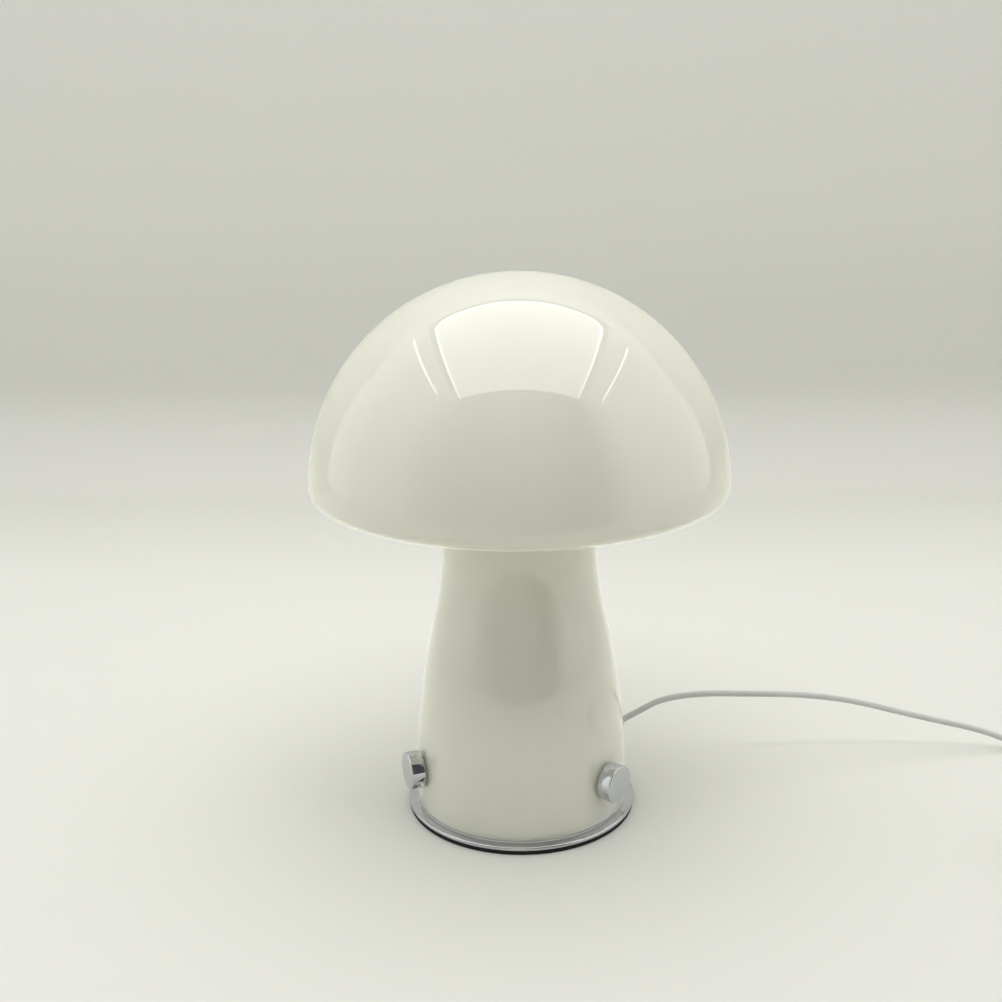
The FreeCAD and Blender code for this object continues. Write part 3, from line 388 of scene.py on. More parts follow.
# Hook-and-loop tape: a matt white textile of fine loops, drawn at 0.5 mm.
strap_tape = surface(
    "hook_and_loop_tape",
    colours=("#DCDCD6", "#E8E8E3"),
    colour_mm=1.0,
    roughness=(0.85, 0.95),
    roughness_mm=1,
    bump_mm=0.5,
    bump_depth_mm=0.12,
    Sheen_Weight=0.35,
    Sheen_Roughness=0.5,
)

FINISHES = {
    "opal_glass": opal_glass,
    "chromed_steel": chrome,
    "eva_foam": eva_foam,
    "clear_silicone": silicone,
    "zinc_plated_steel": zinc,
    "moulded_thermoplastic": nylon,
    "brass_contact": brass,
    "nickel_plated_shell": nickel,
    "black_insulator": phenolic,
    "circuit_board": board_green,
    "aluminium_board": board_white,
    "led_phosphor": phosphor,
    "frosted_polycarbonate": frosted,
    "bulb_housing_plastic": bulb_plastic,
    "white_pvc_lead": pvc,
    "conductor_insulation": red_wire,
    "white_abs": abs_white,
    "plug_tongue_plastic": tongue_plastic,
    "strap_fabric": strap_tape,
}
WIRE_COLOURS = {"conductor_minus": black_wire, "switch_conductor": black_wire}

# ---------------------------------------------------------------- lead

CORD_R = 1.6
SWITCH_X = 291.0
SWITCH_CORD_Z = 5.0
PLUG_Y = -67.0
PLUG_Z = 4.0
COIL_CENTRE_Y = -24.2
COIL_Z = 2.7  # centre of the lead in the lowest layer
COIL_PITCH = 3.75
COIL_INNER_R = 12.4
COIL_TURNS = 3  # in each layer
COIL_LAYERS = 4
COIL_TOP_Z = COIL_Z + (COIL_LAYERS - 1) * COIL_PITCH
POINTS_PER_TURN = 12
ARCH_ROUTE = [
    (49.423, 28.534, 32.210),
    (58.70, 33.89, 36.11),
    (70.0, 40.0, 40.7),
    (90.0, 46.5, 42.1),
    (114.0, 53.0, 40.4),
    (142.0, 60.5, 38.5),
    (170.0, 68.5, 33.4),
    (196.0, 76.0, 24.9),
    (220.0, 82.0, 17.9),
    (243.0, 86.2, 12.1),
    (263.0, 88.6, 4.2),
    (278.0, 86.5, 1.7),
    (287.0, 79.5, 1.9),
    (290.6, 69.5, 4.2),
    (SWITCH_X, 59.5, SWITCH_CORD_Z),
    (SWITCH_X, 52.0, SWITCH_CORD_Z),
]
LINK_ROUTE = [
    (SWITCH_X, -2.0, SWITCH_CORD_Z),
    (SWITCH_X, -8.0, SWITCH_CORD_Z),
    (SWITCH_X, -15.0, COIL_Z),
    (SWITCH_X, -21.0, COIL_Z),
]
TAIL_ROUTE = [
    (SWITCH_X, -27.4, COIL_TOP_Z),
    (SWITCH_X, -36.0, COIL_TOP_Z),
    (SWITCH_X - 0.4, -48.0, 8.55),
    (SWITCH_X, -59.0, PLUG_Z),
    (SWITCH_X, PLUG_Y, PLUG_Z),
]


def coil_route():
    """Turns that spiral in and out again, a layer higher each time the spiral reverses."""
    per_half = POINTS_PER_TURN // 2
    swell = 1 / math.cos(math.pi / POINTS_PER_TURN)  # the spline runs inside its points
    inwards = list(range(2 * COIL_TURNS - 1, -1, -1))
    outwards = list(range(1, 2 * COIL_TURNS + 1))
    points = []
    x, z, side = SWITCH_X, COIL_Z, -1
    for layer in range(COIL_LAYERS):
        steps = outwards if layer % 2 else inwards
        for step in steps:
            radius = COIL_INNER_R + step * COIL_PITCH / 2
            centre_x = x + side * radius
            climb = COIL_PITCH if step == steps[-1] and layer < COIL_LAYERS - 1 else 0.0
            for k in range(per_half):
                share = (k + 0.5) / per_half
                angle = math.pi * share
                points.append(
                    (
                        centre_x - side * radius * swell * math.cos(angle),
                        COIL_CENTRE_Y + side * radius * swell * math.sin(angle),
                        z + climb * share,
                    )
                )
            x += side * 2 * radius
            z += climb
            side = -side
    return points


def lead(name, route):
    """A round lead on one smooth spline, with its route in millimetres."""
    data = bpy.data.curves.new(name, "CURVE")
    data.dimensions = "3D"
    data.bevel_depth = 1.0  # the radius is then each point's own
    data.bevel_resolution = 6
    data.resolution_u = 8
    data.use_fill_caps = True
    spline = data.splines.new("NURBS")
    spline.points.add(len(route) - 1)
    for point, place in zip(spline.points, route):
        point.co = (*[c * MM for c in place], 1.0)
        point.radius = CORD_R * MM
    spline.order_u = 3
    spline.use_endpoint_u = True
    piece = bpy.data.objects.new(name, data)
    bpy.context.scene.collection.objects.link(piece)
    data.materials.append(FINISHES["white_pvc_lead"])
    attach(piece, "root")
    return piece


lead_arch = lead("lead_arch", ARCH_ROUTE)
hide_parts("cord_arch")
lead_coil = lead("lead_coil", LINK_ROUTE + coil_route() + TAIL_ROUTE)
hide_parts("cord_link", "cord_coil", "cord_tail")

# ---------------------------------------------------------------- tools of the bench

WELD_MM = 0.001


def select_only(piece):
    """Make one piece the selected and active one."""
    bpy.ops.object.select_all(action="DESELECT")
    piece.select_set(True)
    bpy.context.view_layer.objects.active = piece


def vertex_piece(name, place):
    """A new mesh in edit mode that holds one selected vertex, to be drawn out from there."""
    bpy.ops.object.select_all(action="DESELECT")
    bpy.ops.mesh.primitive_plane_add(size=MM)
    piece = bpy.context.active_object
    piece.name = piece.data.name = name
    bpy.ops.object.mode_set(mode="EDIT")
    bpy.ops.mesh.select_all(action="SELECT")
    bpy.ops.mesh.merge(type="CENTER")
    bpy.ops.transform.translate(value=place)
    return piece


def draw_out(places):
    """Extrude the selection from the first place through the others."""
    for start, end in zip(places, places[1:]):
        step = [b - a for a, b in zip(start, end)]
        bpy.ops.mesh.extrude_region_move(TRANSFORM_OT_translate={"value": step})


def weld(piece):
    """Merge the doubles, point all faces outwards and leave edit mode."""
    bpy.ops.mesh.select_all(action="SELECT")
    bpy.ops.mesh.remove_doubles(threshold=WELD_MM * MM)
    bpy.ops.mesh.normals_make_consistent(inside=False)
    bpy.ops.object.mode_set(mode="OBJECT")
    return piece


def turned(name, outline, steps):
    """A closed form turned about Z from an outline of (radius, height) points in mm."""
    places = [(radius * MM, 0.0, height * MM) for radius, height in outline]
    piece = vertex_piece(name, places[0])
    draw_out(places)
    bpy.ops.mesh.select_all(action="SELECT")
    bpy.ops.mesh.spin(steps=steps, angle=2 * math.pi, center=(0, 0, 0), axis=(0, 0, 1))
    return weld(piece)


def curve_points(centre, radii, start, end, count):
    """Points on an ellipse in the radius-height plane, between two angles in degrees."""
    points = []
    for step in range(count + 1):
        angle = math.radians(start + (end - start) * step / count)
        points.append(
            (centre[0] + radii[0] * math.cos(angle), centre[1] + radii[1] * math.sin(angle))
        )
    return points


def joined(name, pieces):
    """Several pieces as one, under a new name."""
    bpy.ops.object.select_all(action="DESELECT")
    for piece in pieces:
        piece.select_set(True)
    bpy.context.view_layer.objects.active = pieces[0]
    bpy.ops.object.join()
    whole = bpy.context.active_object
    whole.name = whole.data.name = name
    return whole


def finished(piece, body, slot, *replaced, sharp=35):
    """Smooth shading up to an edge angle, the body it rides on, its slot and what it replaces."""
    select_only(piece)
    bpy.ops.object.shade_smooth_by_angle(angle=math.radians(sharp))
    piece.data.materials.clear()
    piece.data.materials.append(FINISHES[slot])
    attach(piece, body)
    if replaced:
        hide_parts(*replaced)
    return piece


def apply_modifier(piece, kind, **settings):
    """Add one modifier with its settings and apply it."""
    select_only(piece)
    modifier = piece.modifiers.new(kind.lower(), kind)
    for key, value in settings.items():
        setattr(modifier, key, value)
    bpy.ops.object.modifier_apply(modifier=modifier.name)
    return piece


def block(name, low, high):
    """A box from its lowest to its highest corner in mm, to be worked further."""
    bpy.ops.object.select_all(action="DESELECT")
    size = [(b - a) * MM for a, b in zip(low, high)]
    centre = [(a + b) / 2 * MM for a, b in zip(low, high)]
    bpy.ops.mesh.primitive_cube_add(size=1.0, location=centre, scale=size)
    piece = bpy.context.active_object
    piece.name = piece.data.name = name
    bpy.ops.object.transform_apply(location=True, rotation=True, scale=True)
    return piece


def pointing_out(azimuth, height):
    """Lay a piece built along +Z so that it points away from the lamp's axis."""
    turn = Matrix.Rotation(math.radians(azimuth - 90), 4, "Z")
    lay = Matrix.Rotation(math.radians(90), 4, "Y")
    return turn @ Matrix.Translation((0, 0, height * MM)) @ lay


def cut_away(piece, cutter):
    """Take one form out of another and drop the cutter."""
    apply_modifier(piece, "BOOLEAN", operation="DIFFERENCE", solver="EXACT", object=cutter)
    bpy.data.objects.remove(cutter)
    return piece


def copied(piece, name):
    """A copy with its own mesh."""
    copy = piece.copy()
    copy.data = piece.data.copy()
    copy.name = copy.data.name = name
    bpy.context.scene.collection.objects.link(copy)
    return copy


# ---------------------------------------------------------------- glass body

CAP_R = 100.0
CAP_WIDEST_Z = 167.1
DOME_H = 99.1
GLASS_T = 3.0
LIP_IN = 43.9
LIP_DROP = 12.6
STEM_R = 53.0
STEM_VERTICAL_Z = 8.0
STEM_ARC_R = 400.0
STEM_TURN_Z = 100.0
WAIST_ARC_R = 190.0
FOOT_MIDDLE_Z = 5.9  # centre of the rounded rim that the glass stands on
GLASS_STEPS = 192
FOOT_STEPS = 8
LEAST_STEPS = 4
SCREW_AZIMUTHS = {"right": 60.0, "left": -60.0, "back": 180.0}
SCREW_Z = 25.9
GLASS_HOLE_R = 3.3
EXIT_AZIMUTH = 120.0
EXIT_Z = 30.5
GROMMET_HOLE_R = 4.25
DRILL_L = 30.0
DRILL_SIDES = 64


def near(a, b):
    """Whether two points are so close that welding merges them."""
    return math.dist(a, b) < WELD_MM


def wall_profile(inset, share):
    """The wall's outline from foot to crown, set in from the outside, with a share of the steps."""
    lean = math.asin((STEM_TURN_Z - STEM_VERTICAL_Z) / STEM_ARC_R)
    stem_centre = (STEM_R - STEM_ARC_R, STEM_VERTICAL_Z)
    stem_r = STEM_ARC_R - inset
    turn_r = stem_centre[0] + STEM_ARC_R * math.cos(lean)
    neck_r = turn_r - WAIST_ARC_R * (1 - math.cos(lean))
    neck_z = STEM_TURN_Z + WAIST_ARC_R * math.sin(lean)
    floor_z = CAP_WIDEST_Z - LIP_DROP + inset
    corner_r = floor_z - neck_z
    foot_angle = math.degrees(math.asin((FOOT_MIDDLE_Z - STEM_VERTICAL_Z) / stem_r))
    lean = math.degrees(lean)
    cap_middle = (0.0, CAP_WIDEST_Z)
    lip_middle = (CAP_R - LIP_IN, CAP_WIDEST_Z)
    lip_radii = (LIP_IN - inset, LIP_DROP - inset)
    arcs = [  # centre, radii, first angle, last angle, steps
        (stem_centre, (stem_r, stem_r), foot_angle, lean, 24),
        ((neck_r + WAIST_ARC_R, neck_z), (-WAIST_ARC_R - inset, -WAIST_ARC_R - inset), lean, 0, 20),
        ((neck_r - inset + corner_r, neck_z), (-corner_r, corner_r), 0, 90, 12),
        (lip_middle, lip_radii, -90, 0, 26),
        (cap_middle, (CAP_R - inset, DOME_H - inset), 0, 90, 56),
    ]
    points = []
    for centre, radii, start, end, count in arcs:
        steps = max(LEAST_STEPS, round(count * share))
        stretch = curve_points(centre, radii, start, end, steps)
        if points and near(points[-1], stretch[0]):
            stretch = stretch[1:]
        points += stretch
    points[-1] = (0.0, points[-1][1])
    return points


outside = wall_profile(0.0, 1.0)
inside = wall_profile(GLASS_T, 0.5)
foot_middle = [(a + b) / 2 for a, b in zip(outside[0], inside[0])]
foot_rim = curve_points(foot_middle, (GLASS_T / 2, GLASS_T / 2), -180, 0, FOOT_STEPS)[1:-1]
glass_shell = turned("glass_shell", inside[::-1] + foot_rim + outside, GLASS_STEPS)


def hole_through_glass(name, azimuth, height, radius):
    """A drill that leaves a round hole in the stem's wall."""
    bpy.ops.object.select_all(action="DESELECT")
    bpy.ops.mesh.primitive_cylinder_add(
        vertices=DRILL_SIDES, radius=radius * MM, depth=DRILL_L * MM
    )
    drill = bpy.context.active_object
    drill.name = name
    drill.data.transform(Matrix.Translation((0, 0, STEM_R * MM)))
    drill.data.transform(pointing_out(azimuth, height))
    return drill


drills = [
    hole_through_glass("drill_" + side, azimuth, SCREW_Z, GLASS_HOLE_R)
    for side, azimuth in SCREW_AZIMUTHS.items()
]
drills.append(hole_through_glass("drill_lead", EXIT_AZIMUTH, EXIT_Z, GROMMET_HOLE_R))
cut_away(glass_shell, joined("drills", drills))
finished(glass_shell, "root", "opal_glass", "glass_body", sharp=40)

# ---------------------------------------------------------------- base plate

PAD_TOP = 2.0
PLATE_TOP = 4.0
PLATE_R = 57.4
PLATE_EDGE_R = 0.8
PLATE_STEPS = 256
PLATE_EDGE_STEPS = 8
PLATE_DRILL_STEPS = 48
UNDER_PLATE = 1.0  # cutters start and end at these heights
OVER_PLATE = 5.0
RIVET_RING_R = 37.0
RIVET_ASIDE = 4.5
FLANGE_SCREW_RING_R = 10.5
FLANGE_SCREW_AZIMUTHS = (0, 120, 240)
CLAMP_SCREW_PLACES = ((-15.0, 28.4), (-15.0, 17.6))  # along the lead's exit, and to its left
COUNTERSINKS = {"rivet": (1.55, 2.7), "screw": (1.55, 2.9)}  # radius of the hole, of its mouth
CLAMP_HOLE = (1.25, 2.3)  # radius, height of its blind end


def plate_drill(name, azimuth, out, aside, outline):
    """A turned cutter standing in the plate, out along an azimuth and aside to its left."""
    drill = turned(name, outline, PLATE_DRILL_STEPS)
    drill.data.transform(Matrix.Translation((aside * MM, -out * MM, 0)))
    drill.data.transform(Matrix.Rotation(math.radians(azimuth), 4, "Z"))
    return drill


def countersink(kind):
    """Outline of a cutter that is wide at the plate's underside."""
    hole_r, mouth_r = COUNTERSINKS[kind]
    return [
        (0, UNDER_PLATE),
        (mouth_r, UNDER_PLATE),
        (mouth_r, PAD_TOP),
        (hole_r, PAD_TOP + mouth_r - hole_r),
        (hole_r, OVER_PLATE),
        (0, OVER_PLATE),
    ]


edge_in = PLATE_R - PLATE_EDGE_R
plate_outline = [(0, PAD_TOP)]
for height, start in ((PAD_TOP + PLATE_EDGE_R, -90), (PLATE_TOP - PLATE_EDGE_R, 0)):
    plate_outline += curve_points(
        (edge_in, height), (PLATE_EDGE_R, PLATE_EDGE_R), start, start + 90, PLATE_EDGE_STEPS
    )
plate_outline.append((0, PLATE_TOP))
round_plate = turned("round_plate", plate_outline, PLATE_STEPS)
plate_drills = [
    plate_drill("rivet_hole", azimuth, RIVET_RING_R, aside, countersink("rivet"))
    for azimuth in SCREW_AZIMUTHS.values()
    for aside in (RIVET_ASIDE, -RIVET_ASIDE)
]
plate_drills += [
    plate_drill("screw_hole", azimuth, FLANGE_SCREW_RING_R, 0, countersink("screw"))
    for azimuth in FLANGE_SCREW_AZIMUTHS
]
blind_r, blind_z = CLAMP_HOLE
blind = [(0, blind_z), (blind_r, blind_z), (blind_r, OVER_PLATE), (0, OVER_PLATE)]
plate_drills += [
    plate_drill("clamp_hole", EXIT_AZIMUTH, out, aside, blind) for out, aside in CLAMP_SCREW_PLACES
]
cut_away(round_plate, joined("plate_drills", plate_drills))
finished(round_plate, "root", "chromed_steel", "base_plate")

# ---------------------------------------------------------------- thumb screws

KNOB_R = 9.3
KNOB_FACE = 60.4
KNOB_BACK = 53.4
KNOB_EDGE_R = 0.55
KNOB_STEPS = 96
KNOB_EDGE_STEPS = 6
SCREW_TIP = 37.5
THREAD_CREST_R = 2.48  # M5
THREAD_ROOT_R = 2.02
THREAD_PITCH = 0.8
THREAD_CREST = (0.35, 0.45)  # where the crest starts and ends along one pitch
THREAD_ROOT = (0.1, 0.7)  # where the flanks leave the root and reach it again
THREAD_STEPS = 36
THREAD_FROM = 38.2
THREAD_TO = 53.8
CORE_R = 2.0
TIP_CHAMFER = 0.6


def knob_and_core():
    """The plated knob, and the core of its threaded shank, turned in one outline."""
    edge = (KNOB_EDGE_R, KNOB_EDGE_R)
    middle_r = KNOB_R - KNOB_EDGE_R
    front = curve_points((middle_r, KNOB_FACE - KNOB_EDGE_R), edge, 90, 0, KNOB_EDGE_STEPS)
    back = curve_points((middle_r, KNOB_BACK + KNOB_EDGE_R), edge, 0, -90, KNOB_EDGE_STEPS)
    shank = [
        (CORE_R, KNOB_BACK),
        (CORE_R, SCREW_TIP + TIP_CHAMFER),
        (CORE_R - TIP_CHAMFER, SCREW_TIP),
    ]
    outline = [(0.0, KNOB_FACE)] + front + back + shank + [(0.0, SCREW_TIP)]
    return turned("knob", outline, KNOB_STEPS)


def thread():
    """A cut thread: one pitch of its flanks screwed along the shank, and squared off."""
    flank = [
        (THREAD_ROOT_R, 0.0),
        (THREAD_ROOT_R, THREAD_ROOT[0]),
        (THREAD_CREST_R, THREAD_CREST[0]),
        (THREAD_CREST_R, THREAD_CREST[1]),
        (THREAD_ROOT_R, THREAD_ROOT[1]),
        (THREAD_ROOT_R, THREAD_PITCH),
    ]
    start = THREAD_FROM - 2 * THREAD_PITCH
    turns = math.ceil((THREAD_TO - start) / THREAD_PITCH) + 1
    places = [(radius * MM, 0.0, (start + along) * MM) for radius, along in flank]
    piece = vertex_piece("thread", places[0])
    draw_out(places)
    bpy.ops.object.mode_set(mode="OBJECT")
    apply_modifier(
        piece,
        "SCREW",
        axis="Z",
        angle=2 * math.pi,
        screw_offset=THREAD_PITCH * MM,
        iterations=turns,
        steps=THREAD_STEPS,
        render_steps=THREAD_STEPS,
    )
    bpy.ops.object.mode_set(mode="EDIT")
    for height, side in ((THREAD_FROM, "clear_inner"), (THREAD_TO, "clear_outer")):
        bpy.ops.mesh.select_all(action="SELECT")
        bpy.ops.mesh.remove_doubles(threshold=WELD_MM * MM)
        bpy.ops.mesh.bisect(
            plane_co=(0, 0, height * MM), plane_no=(0, 0, 1), use_fill=True, **{side: True}
        )
    return weld(piece)


screw = joined("thumb_screw", [knob_and_core(), thread()])
for side, azimuth in SCREW_AZIMUTHS.items():
    piece = copied(screw, "thumb_screw_turned_" + side)
    piece.data.transform(pointing_out(azimuth, SCREW_Z))
    finished(piece, "screw_" + side, "chromed_steel", "thumb_screw_" + side)
bpy.data.objects.remove(screw)

# ---------------------------------------------------------------- in-line switch

SWITCH_Y = 25.0
SWITCH_HALF_L = 20.0
BOOT_ROOT_R = 3.8
BOOT_TIP_R = 2.4
BOOT_PLUG_R = 2.6
BOOT_PLUG_L = 2.5  # its stub inside the case
BOOT_END = 27.0
BOOT_START = 20.05
BOOT_ROOT_CHAMFER = (0.3, 0.25)  # inwards and along
BOOT_TIP_CHAMFER = 0.2
BOOT_GROOVES = 4
BOOT_GROOVE_W = 0.75
BOOT_GROOVE_DEPTH = 0.5
BOOT_GROOVE_FLANK = 0.14
BOOT_PLAIN_L = 0.6  # length that isn't shared out among the grooves
BOOT_STEPS = 48
ROCKER_HALF_L = 6.5
ROCKER_W = 7.6
ROCKER_TILT = 6.0
ROCKER_DEPTH = 2.0
ROCKER_EARS = 3.0
ROCKER_DIP = 1.0
ROCKER_DISH = 1.4  # power of the curve of its top
ROCKER_POINTS = 12
ROCKER_EDGE_R = 0.35
ROCKER_EDGE_TURN = 0.7  # radians: edges that turn more than this are rounded
PIN_Z = 10.2
PIN_BORE_R = 0.85
PIN_SIDES = 40
MARK_AT = 4.1
STROKE = ((-1.3, -0.22, -0.4), (1.3, 0.22, 0.12))  # lowest and highest corner
STROKE_EDGE_R = 0.08
RING_R = 1.15
RING_WIRE_R = 0.24
RING_FLATNESS = 0.55
ON_SWITCH = Matrix.Translation((SWITCH_X * MM, SWITCH_Y * MM, 0)) @ Matrix.Rotation(
    math.radians(-90), 4, "Z"
)


def boot():
    """One bend relief along +Z: a taper whose grooves let it flex."""

    def taper(along):
        """Radius at a distance from the switch's middle."""
        share = (along - BOOT_START) / (BOOT_END - BOOT_START)
        return BOOT_ROOT_R + (BOOT_TIP_R - BOOT_ROOT_R) * share

    outline = [
        (0.0, SWITCH_HALF_L - BOOT_PLUG_L),
        (BOOT_PLUG_R, SWITCH_HALF_L - BOOT_PLUG_L),
        (BOOT_PLUG_R, BOOT_START),
        (BOOT_ROOT_R - BOOT_ROOT_CHAMFER[0], BOOT_START),
        (BOOT_ROOT_R, BOOT_START + BOOT_ROOT_CHAMFER[1]),
    ]
    spacing = (BOOT_END - BOOT_START - BOOT_PLAIN_L) / BOOT_GROOVES
    for number in range(BOOT_GROOVES):
        start = BOOT_START + BOOT_GROOVE_W + spacing * number
        end = start + BOOT_GROOVE_W
        outline += [
            (taper(start), start),
            (taper(start) - BOOT_GROOVE_DEPTH, start + BOOT_GROOVE_FLANK),
            (taper(end) - BOOT_GROOVE_DEPTH, end - BOOT_GROOVE_FLANK),
            (taper(end), end),
        ]
    outline += [
        (BOOT_TIP_R, BOOT_END - BOOT_TIP_CHAMFER),
        (BOOT_TIP_R - BOOT_TIP_CHAMFER, BOOT_END),
        (0.0, BOOT_END),
    ]
    return turned("boot", outline, BOOT_STEPS)


far_boot = boot()
near_boot = copied(far_boot, "near_boot")
for piece, turn in ((far_boot, 90), (near_boot, -90)):
    piece.data.transform(Matrix.Rotation(math.radians(turn), 4, "Y"))
boots = joined("switch_bend_reliefs", [far_boot, near_boot])
boots.data.transform(ON_SWITCH @ Matrix.Translation((0, 0, SWITCH_CORD_Z * MM)))
finished(boots, "root", "white_pvc_lead", "switch_boots")


def rocker_top(along):
    """Height of the rocker's dished top above its pin."""
    return ROCKER_EARS - ROCKER_DIP + ROCKER_DIP * (abs(along) / ROCKER_HALF_L) ** ROCKER_DISH


def rocker_cap():
    """The dished rocker, extruded across the switch and rounded along every edge."""
    tops = [ROCKER_HALF_L * (2 * n / ROCKER_POINTS - 1) for n in range(ROCKER_POINTS + 1)]
    outline = [(-ROCKER_HALF_L, -ROCKER_DEPTH), (ROCKER_HALF_L, -ROCKER_DEPTH)]
    outline += [(along, rocker_top(along)) for along in reversed(tops)]
    places = [(x * MM, -ROCKER_W / 2 * MM, (PIN_Z + z) * MM) for x, z in outline]
    piece = vertex_piece("rocker", places[0])
    draw_out(places)
    bpy.ops.mesh.select_all(action="SELECT")
    bpy.ops.mesh.edge_face_add()
    bpy.ops.mesh.extrude_region_move(TRANSFORM_OT_translate={"value": (0, ROCKER_W * MM, 0)})
    weld(piece)
    apply_modifier(
        piece,
        "BEVEL",
        width=ROCKER_EDGE_R * MM,
        segments=3,
        limit_method="ANGLE",
        angle_limit=ROCKER_EDGE_TURN,
    )
    bpy.ops.object.select_all(action="DESELECT")
    bpy.ops.mesh.primitive_cylinder_add(
        vertices=PIN_SIDES,
        radius=PIN_BORE_R * MM,
        depth=2 * ROCKER_W * MM,
        location=(0, 0, PIN_Z * MM),
        rotation=(math.radians(90), 0, 0),
    )
    cut_away(piece, bpy.context.active_object)
    return piece


def on_slope(piece, along):
    """Lay a mark on the rocker's dished top."""
    step = 0.1
    rise = rocker_top(along + step) - rocker_top(along - step)
    lean = Matrix.Rotation(-math.atan2(rise, 2 * step), 4, "Y")
    place = Matrix.Translation((along * MM, 0, (PIN_Z + rocker_top(along)) * MM))
    piece.data.transform(place @ lean)
    return piece


stroke = block("stroke", *STROKE)
apply_modifier(stroke, "BEVEL", width=STROKE_EDGE_R * MM, segments=2, limit_method="NONE")
bpy.ops.object.select_all(action="DESELECT")
bpy.ops.mesh.primitive_torus_add(
    major_radius=RING_R * MM,
    minor_radius=RING_WIRE_R * MM,
    major_segments=48,
    minor_segments=12,
)
ring = bpy.context.active_object
ring.data.transform(Matrix.Diagonal((1.0, 1.0, RING_FLATNESS, 1.0)))
rocker = joined(
    "rocker_cap", [rocker_cap(), on_slope(stroke, MARK_AT), on_slope(ring, -MARK_AT)]
)
to_pin = Matrix.Translation((0, 0, PIN_Z * MM))
tilt = to_pin @ Matrix.Rotation(math.radians(ROCKER_TILT), 4, "Y") @ to_pin.inverted()
rocker.data.transform(ON_SWITCH @ tilt)
finished(rocker, "rocker", "white_abs", "switch_rocker")

# ---------------------------------------------------------------- plug

PLUG_START = 9.0
PLUG_END = 31.0
PLUG_HALF_W = 7.5
PLUG_HALF_H = 4.0
PLUG_EDGE_R = 1.6
PLUG_NOSE_TIP_R = 2.3
PLUG_NOSE_ROOT_R = 3.4
PLUG_SEAT = (26.0, 6.01, 2.26)  # where the metal shell starts, and its half width and height
GRIP = (12.5, 24.5, 5.2)  # start, end and half width of the sunk grip
GRIP_DEPTH = 0.45
GRIP_EDGE_R = 0.4
GRIP_RIDGES = 6
RIDGE_W = 0.84
RIDGE_IN = 0.7  # from the grip's sides to the ridges' ends
RIDGE_ROOT = 0.4  # depth below the grip's floor
RIDGE_SHY = 0.08  # depth of its crest below the handle's face
RIDGE_EDGE_R = 0.3
NOSE_RINGS = 4
NOSE_RING_FROM = 1.1
NOSE_RING_PITCH = 1.9
NOSE_GROOVE_W = 0.9
NOSE_GROOVE_DEPTH = 0.4
NOSE_GROOVE_FLANK = 0.15
NOSE_CHAMFER = 0.25
NOSE_OVERLAP = 0.4  # length of the nose inside the handle
BEYOND = 2.0  # how far a cutter reaches past the face that it opens
ON_PLUG = Matrix.Translation((SWITCH_X * MM, PLUG_Y * MM, PLUG_Z * MM)) @ Matrix.Rotation(
    math.radians(-90), 4, "Z"
)


def plug_handle():
    """The overmoulded handle, with a sunk and ribbed grip on both faces."""
    handle = block(
        "handle", (PLUG_START, -PLUG_HALF_W, -PLUG_HALF_H), (PLUG_END, PLUG_HALF_W, PLUG_HALF_H)
    )
    apply_modifier(handle, "BEVEL", width=PLUG_EDGE_R * MM, segments=5, limit_method="NONE")
    start, end, half_w = GRIP
    ridges = []
    for face in (1, -1):
        floor = face * (PLUG_HALF_H - GRIP_DEPTH)
        low, high = sorted((floor, face * (PLUG_HALF_H + BEYOND)))
        sunk = block("sunk", (start, -half_w, low), (end, half_w, high))
        apply_modifier(sunk, "BEVEL", width=GRIP_EDGE_R * MM, segments=3, limit_method="NONE")
        cut_away(handle, sunk)
        for number in range(GRIP_RIDGES):
            middle = start + (end - start) * (number + 0.5) / GRIP_RIDGES
            low, high = sorted((floor - face * RIDGE_ROOT, face * (PLUG_HALF_H - RIDGE_SHY)))
            ridge = block(
                "ridge",
                (middle - RIDGE_W / 2, -half_w + RIDGE_IN, low),
                (middle + RIDGE_W / 2, half_w - RIDGE_IN, high),
            )
            apply_modifier(
                ridge, "BEVEL", width=RIDGE_EDGE_R * MM, segments=3, limit_method="NONE"
            )
            ridges.append(ridge)
    seat_start, seat_w, seat_h = PLUG_SEAT
    seat = block("seat", (seat_start, -seat_w, -seat_h), (PLUG_END + BEYOND, seat_w, seat_h))
    cut_away(handle, seat)
    return joined("handle", [handle] + ridges)


def plug_nose():
    """The tapered bend relief behind the handle, grooved so that rings stand between."""
    outline = [
        (0.0, 0.0),
        (PLUG_NOSE_TIP_R - NOSE_CHAMFER, 0.0),
        (PLUG_NOSE_TIP_R, NOSE_CHAMFER),
    ]
    grow = (PLUG_NOSE_ROOT_R - PLUG_NOSE_TIP_R) / PLUG_START
    for number in range(NOSE_RINGS):
        start = NOSE_RING_FROM + NOSE_RING_PITCH * number
        end = start + NOSE_GROOVE_W
        start_r = PLUG_NOSE_TIP_R + grow * start
        end_r = PLUG_NOSE_TIP_R + grow * end
        outline += [
            (start_r, start),
            (start_r - NOSE_GROOVE_DEPTH, start + NOSE_GROOVE_FLANK),
            (start_r - NOSE_GROOVE_DEPTH, end - NOSE_GROOVE_FLANK),
            (end_r, end),
        ]
    inner_end = PLUG_START + NOSE_OVERLAP
    outline += [(PLUG_NOSE_ROOT_R, inner_end), (0.0, inner_end)]
    nose = turned("nose", outline, BOOT_STEPS)
    nose.data.transform(Matrix.Rotation(math.radians(90), 4, "Y"))
    return nose


plug = joined("plug_handle", [plug_handle(), plug_nose()])
plug.data.transform(ON_PLUG)
finished(plug, "root", "white_pvc_lead", "plug_body")

# ---------------------------------------------------------------- coil tie

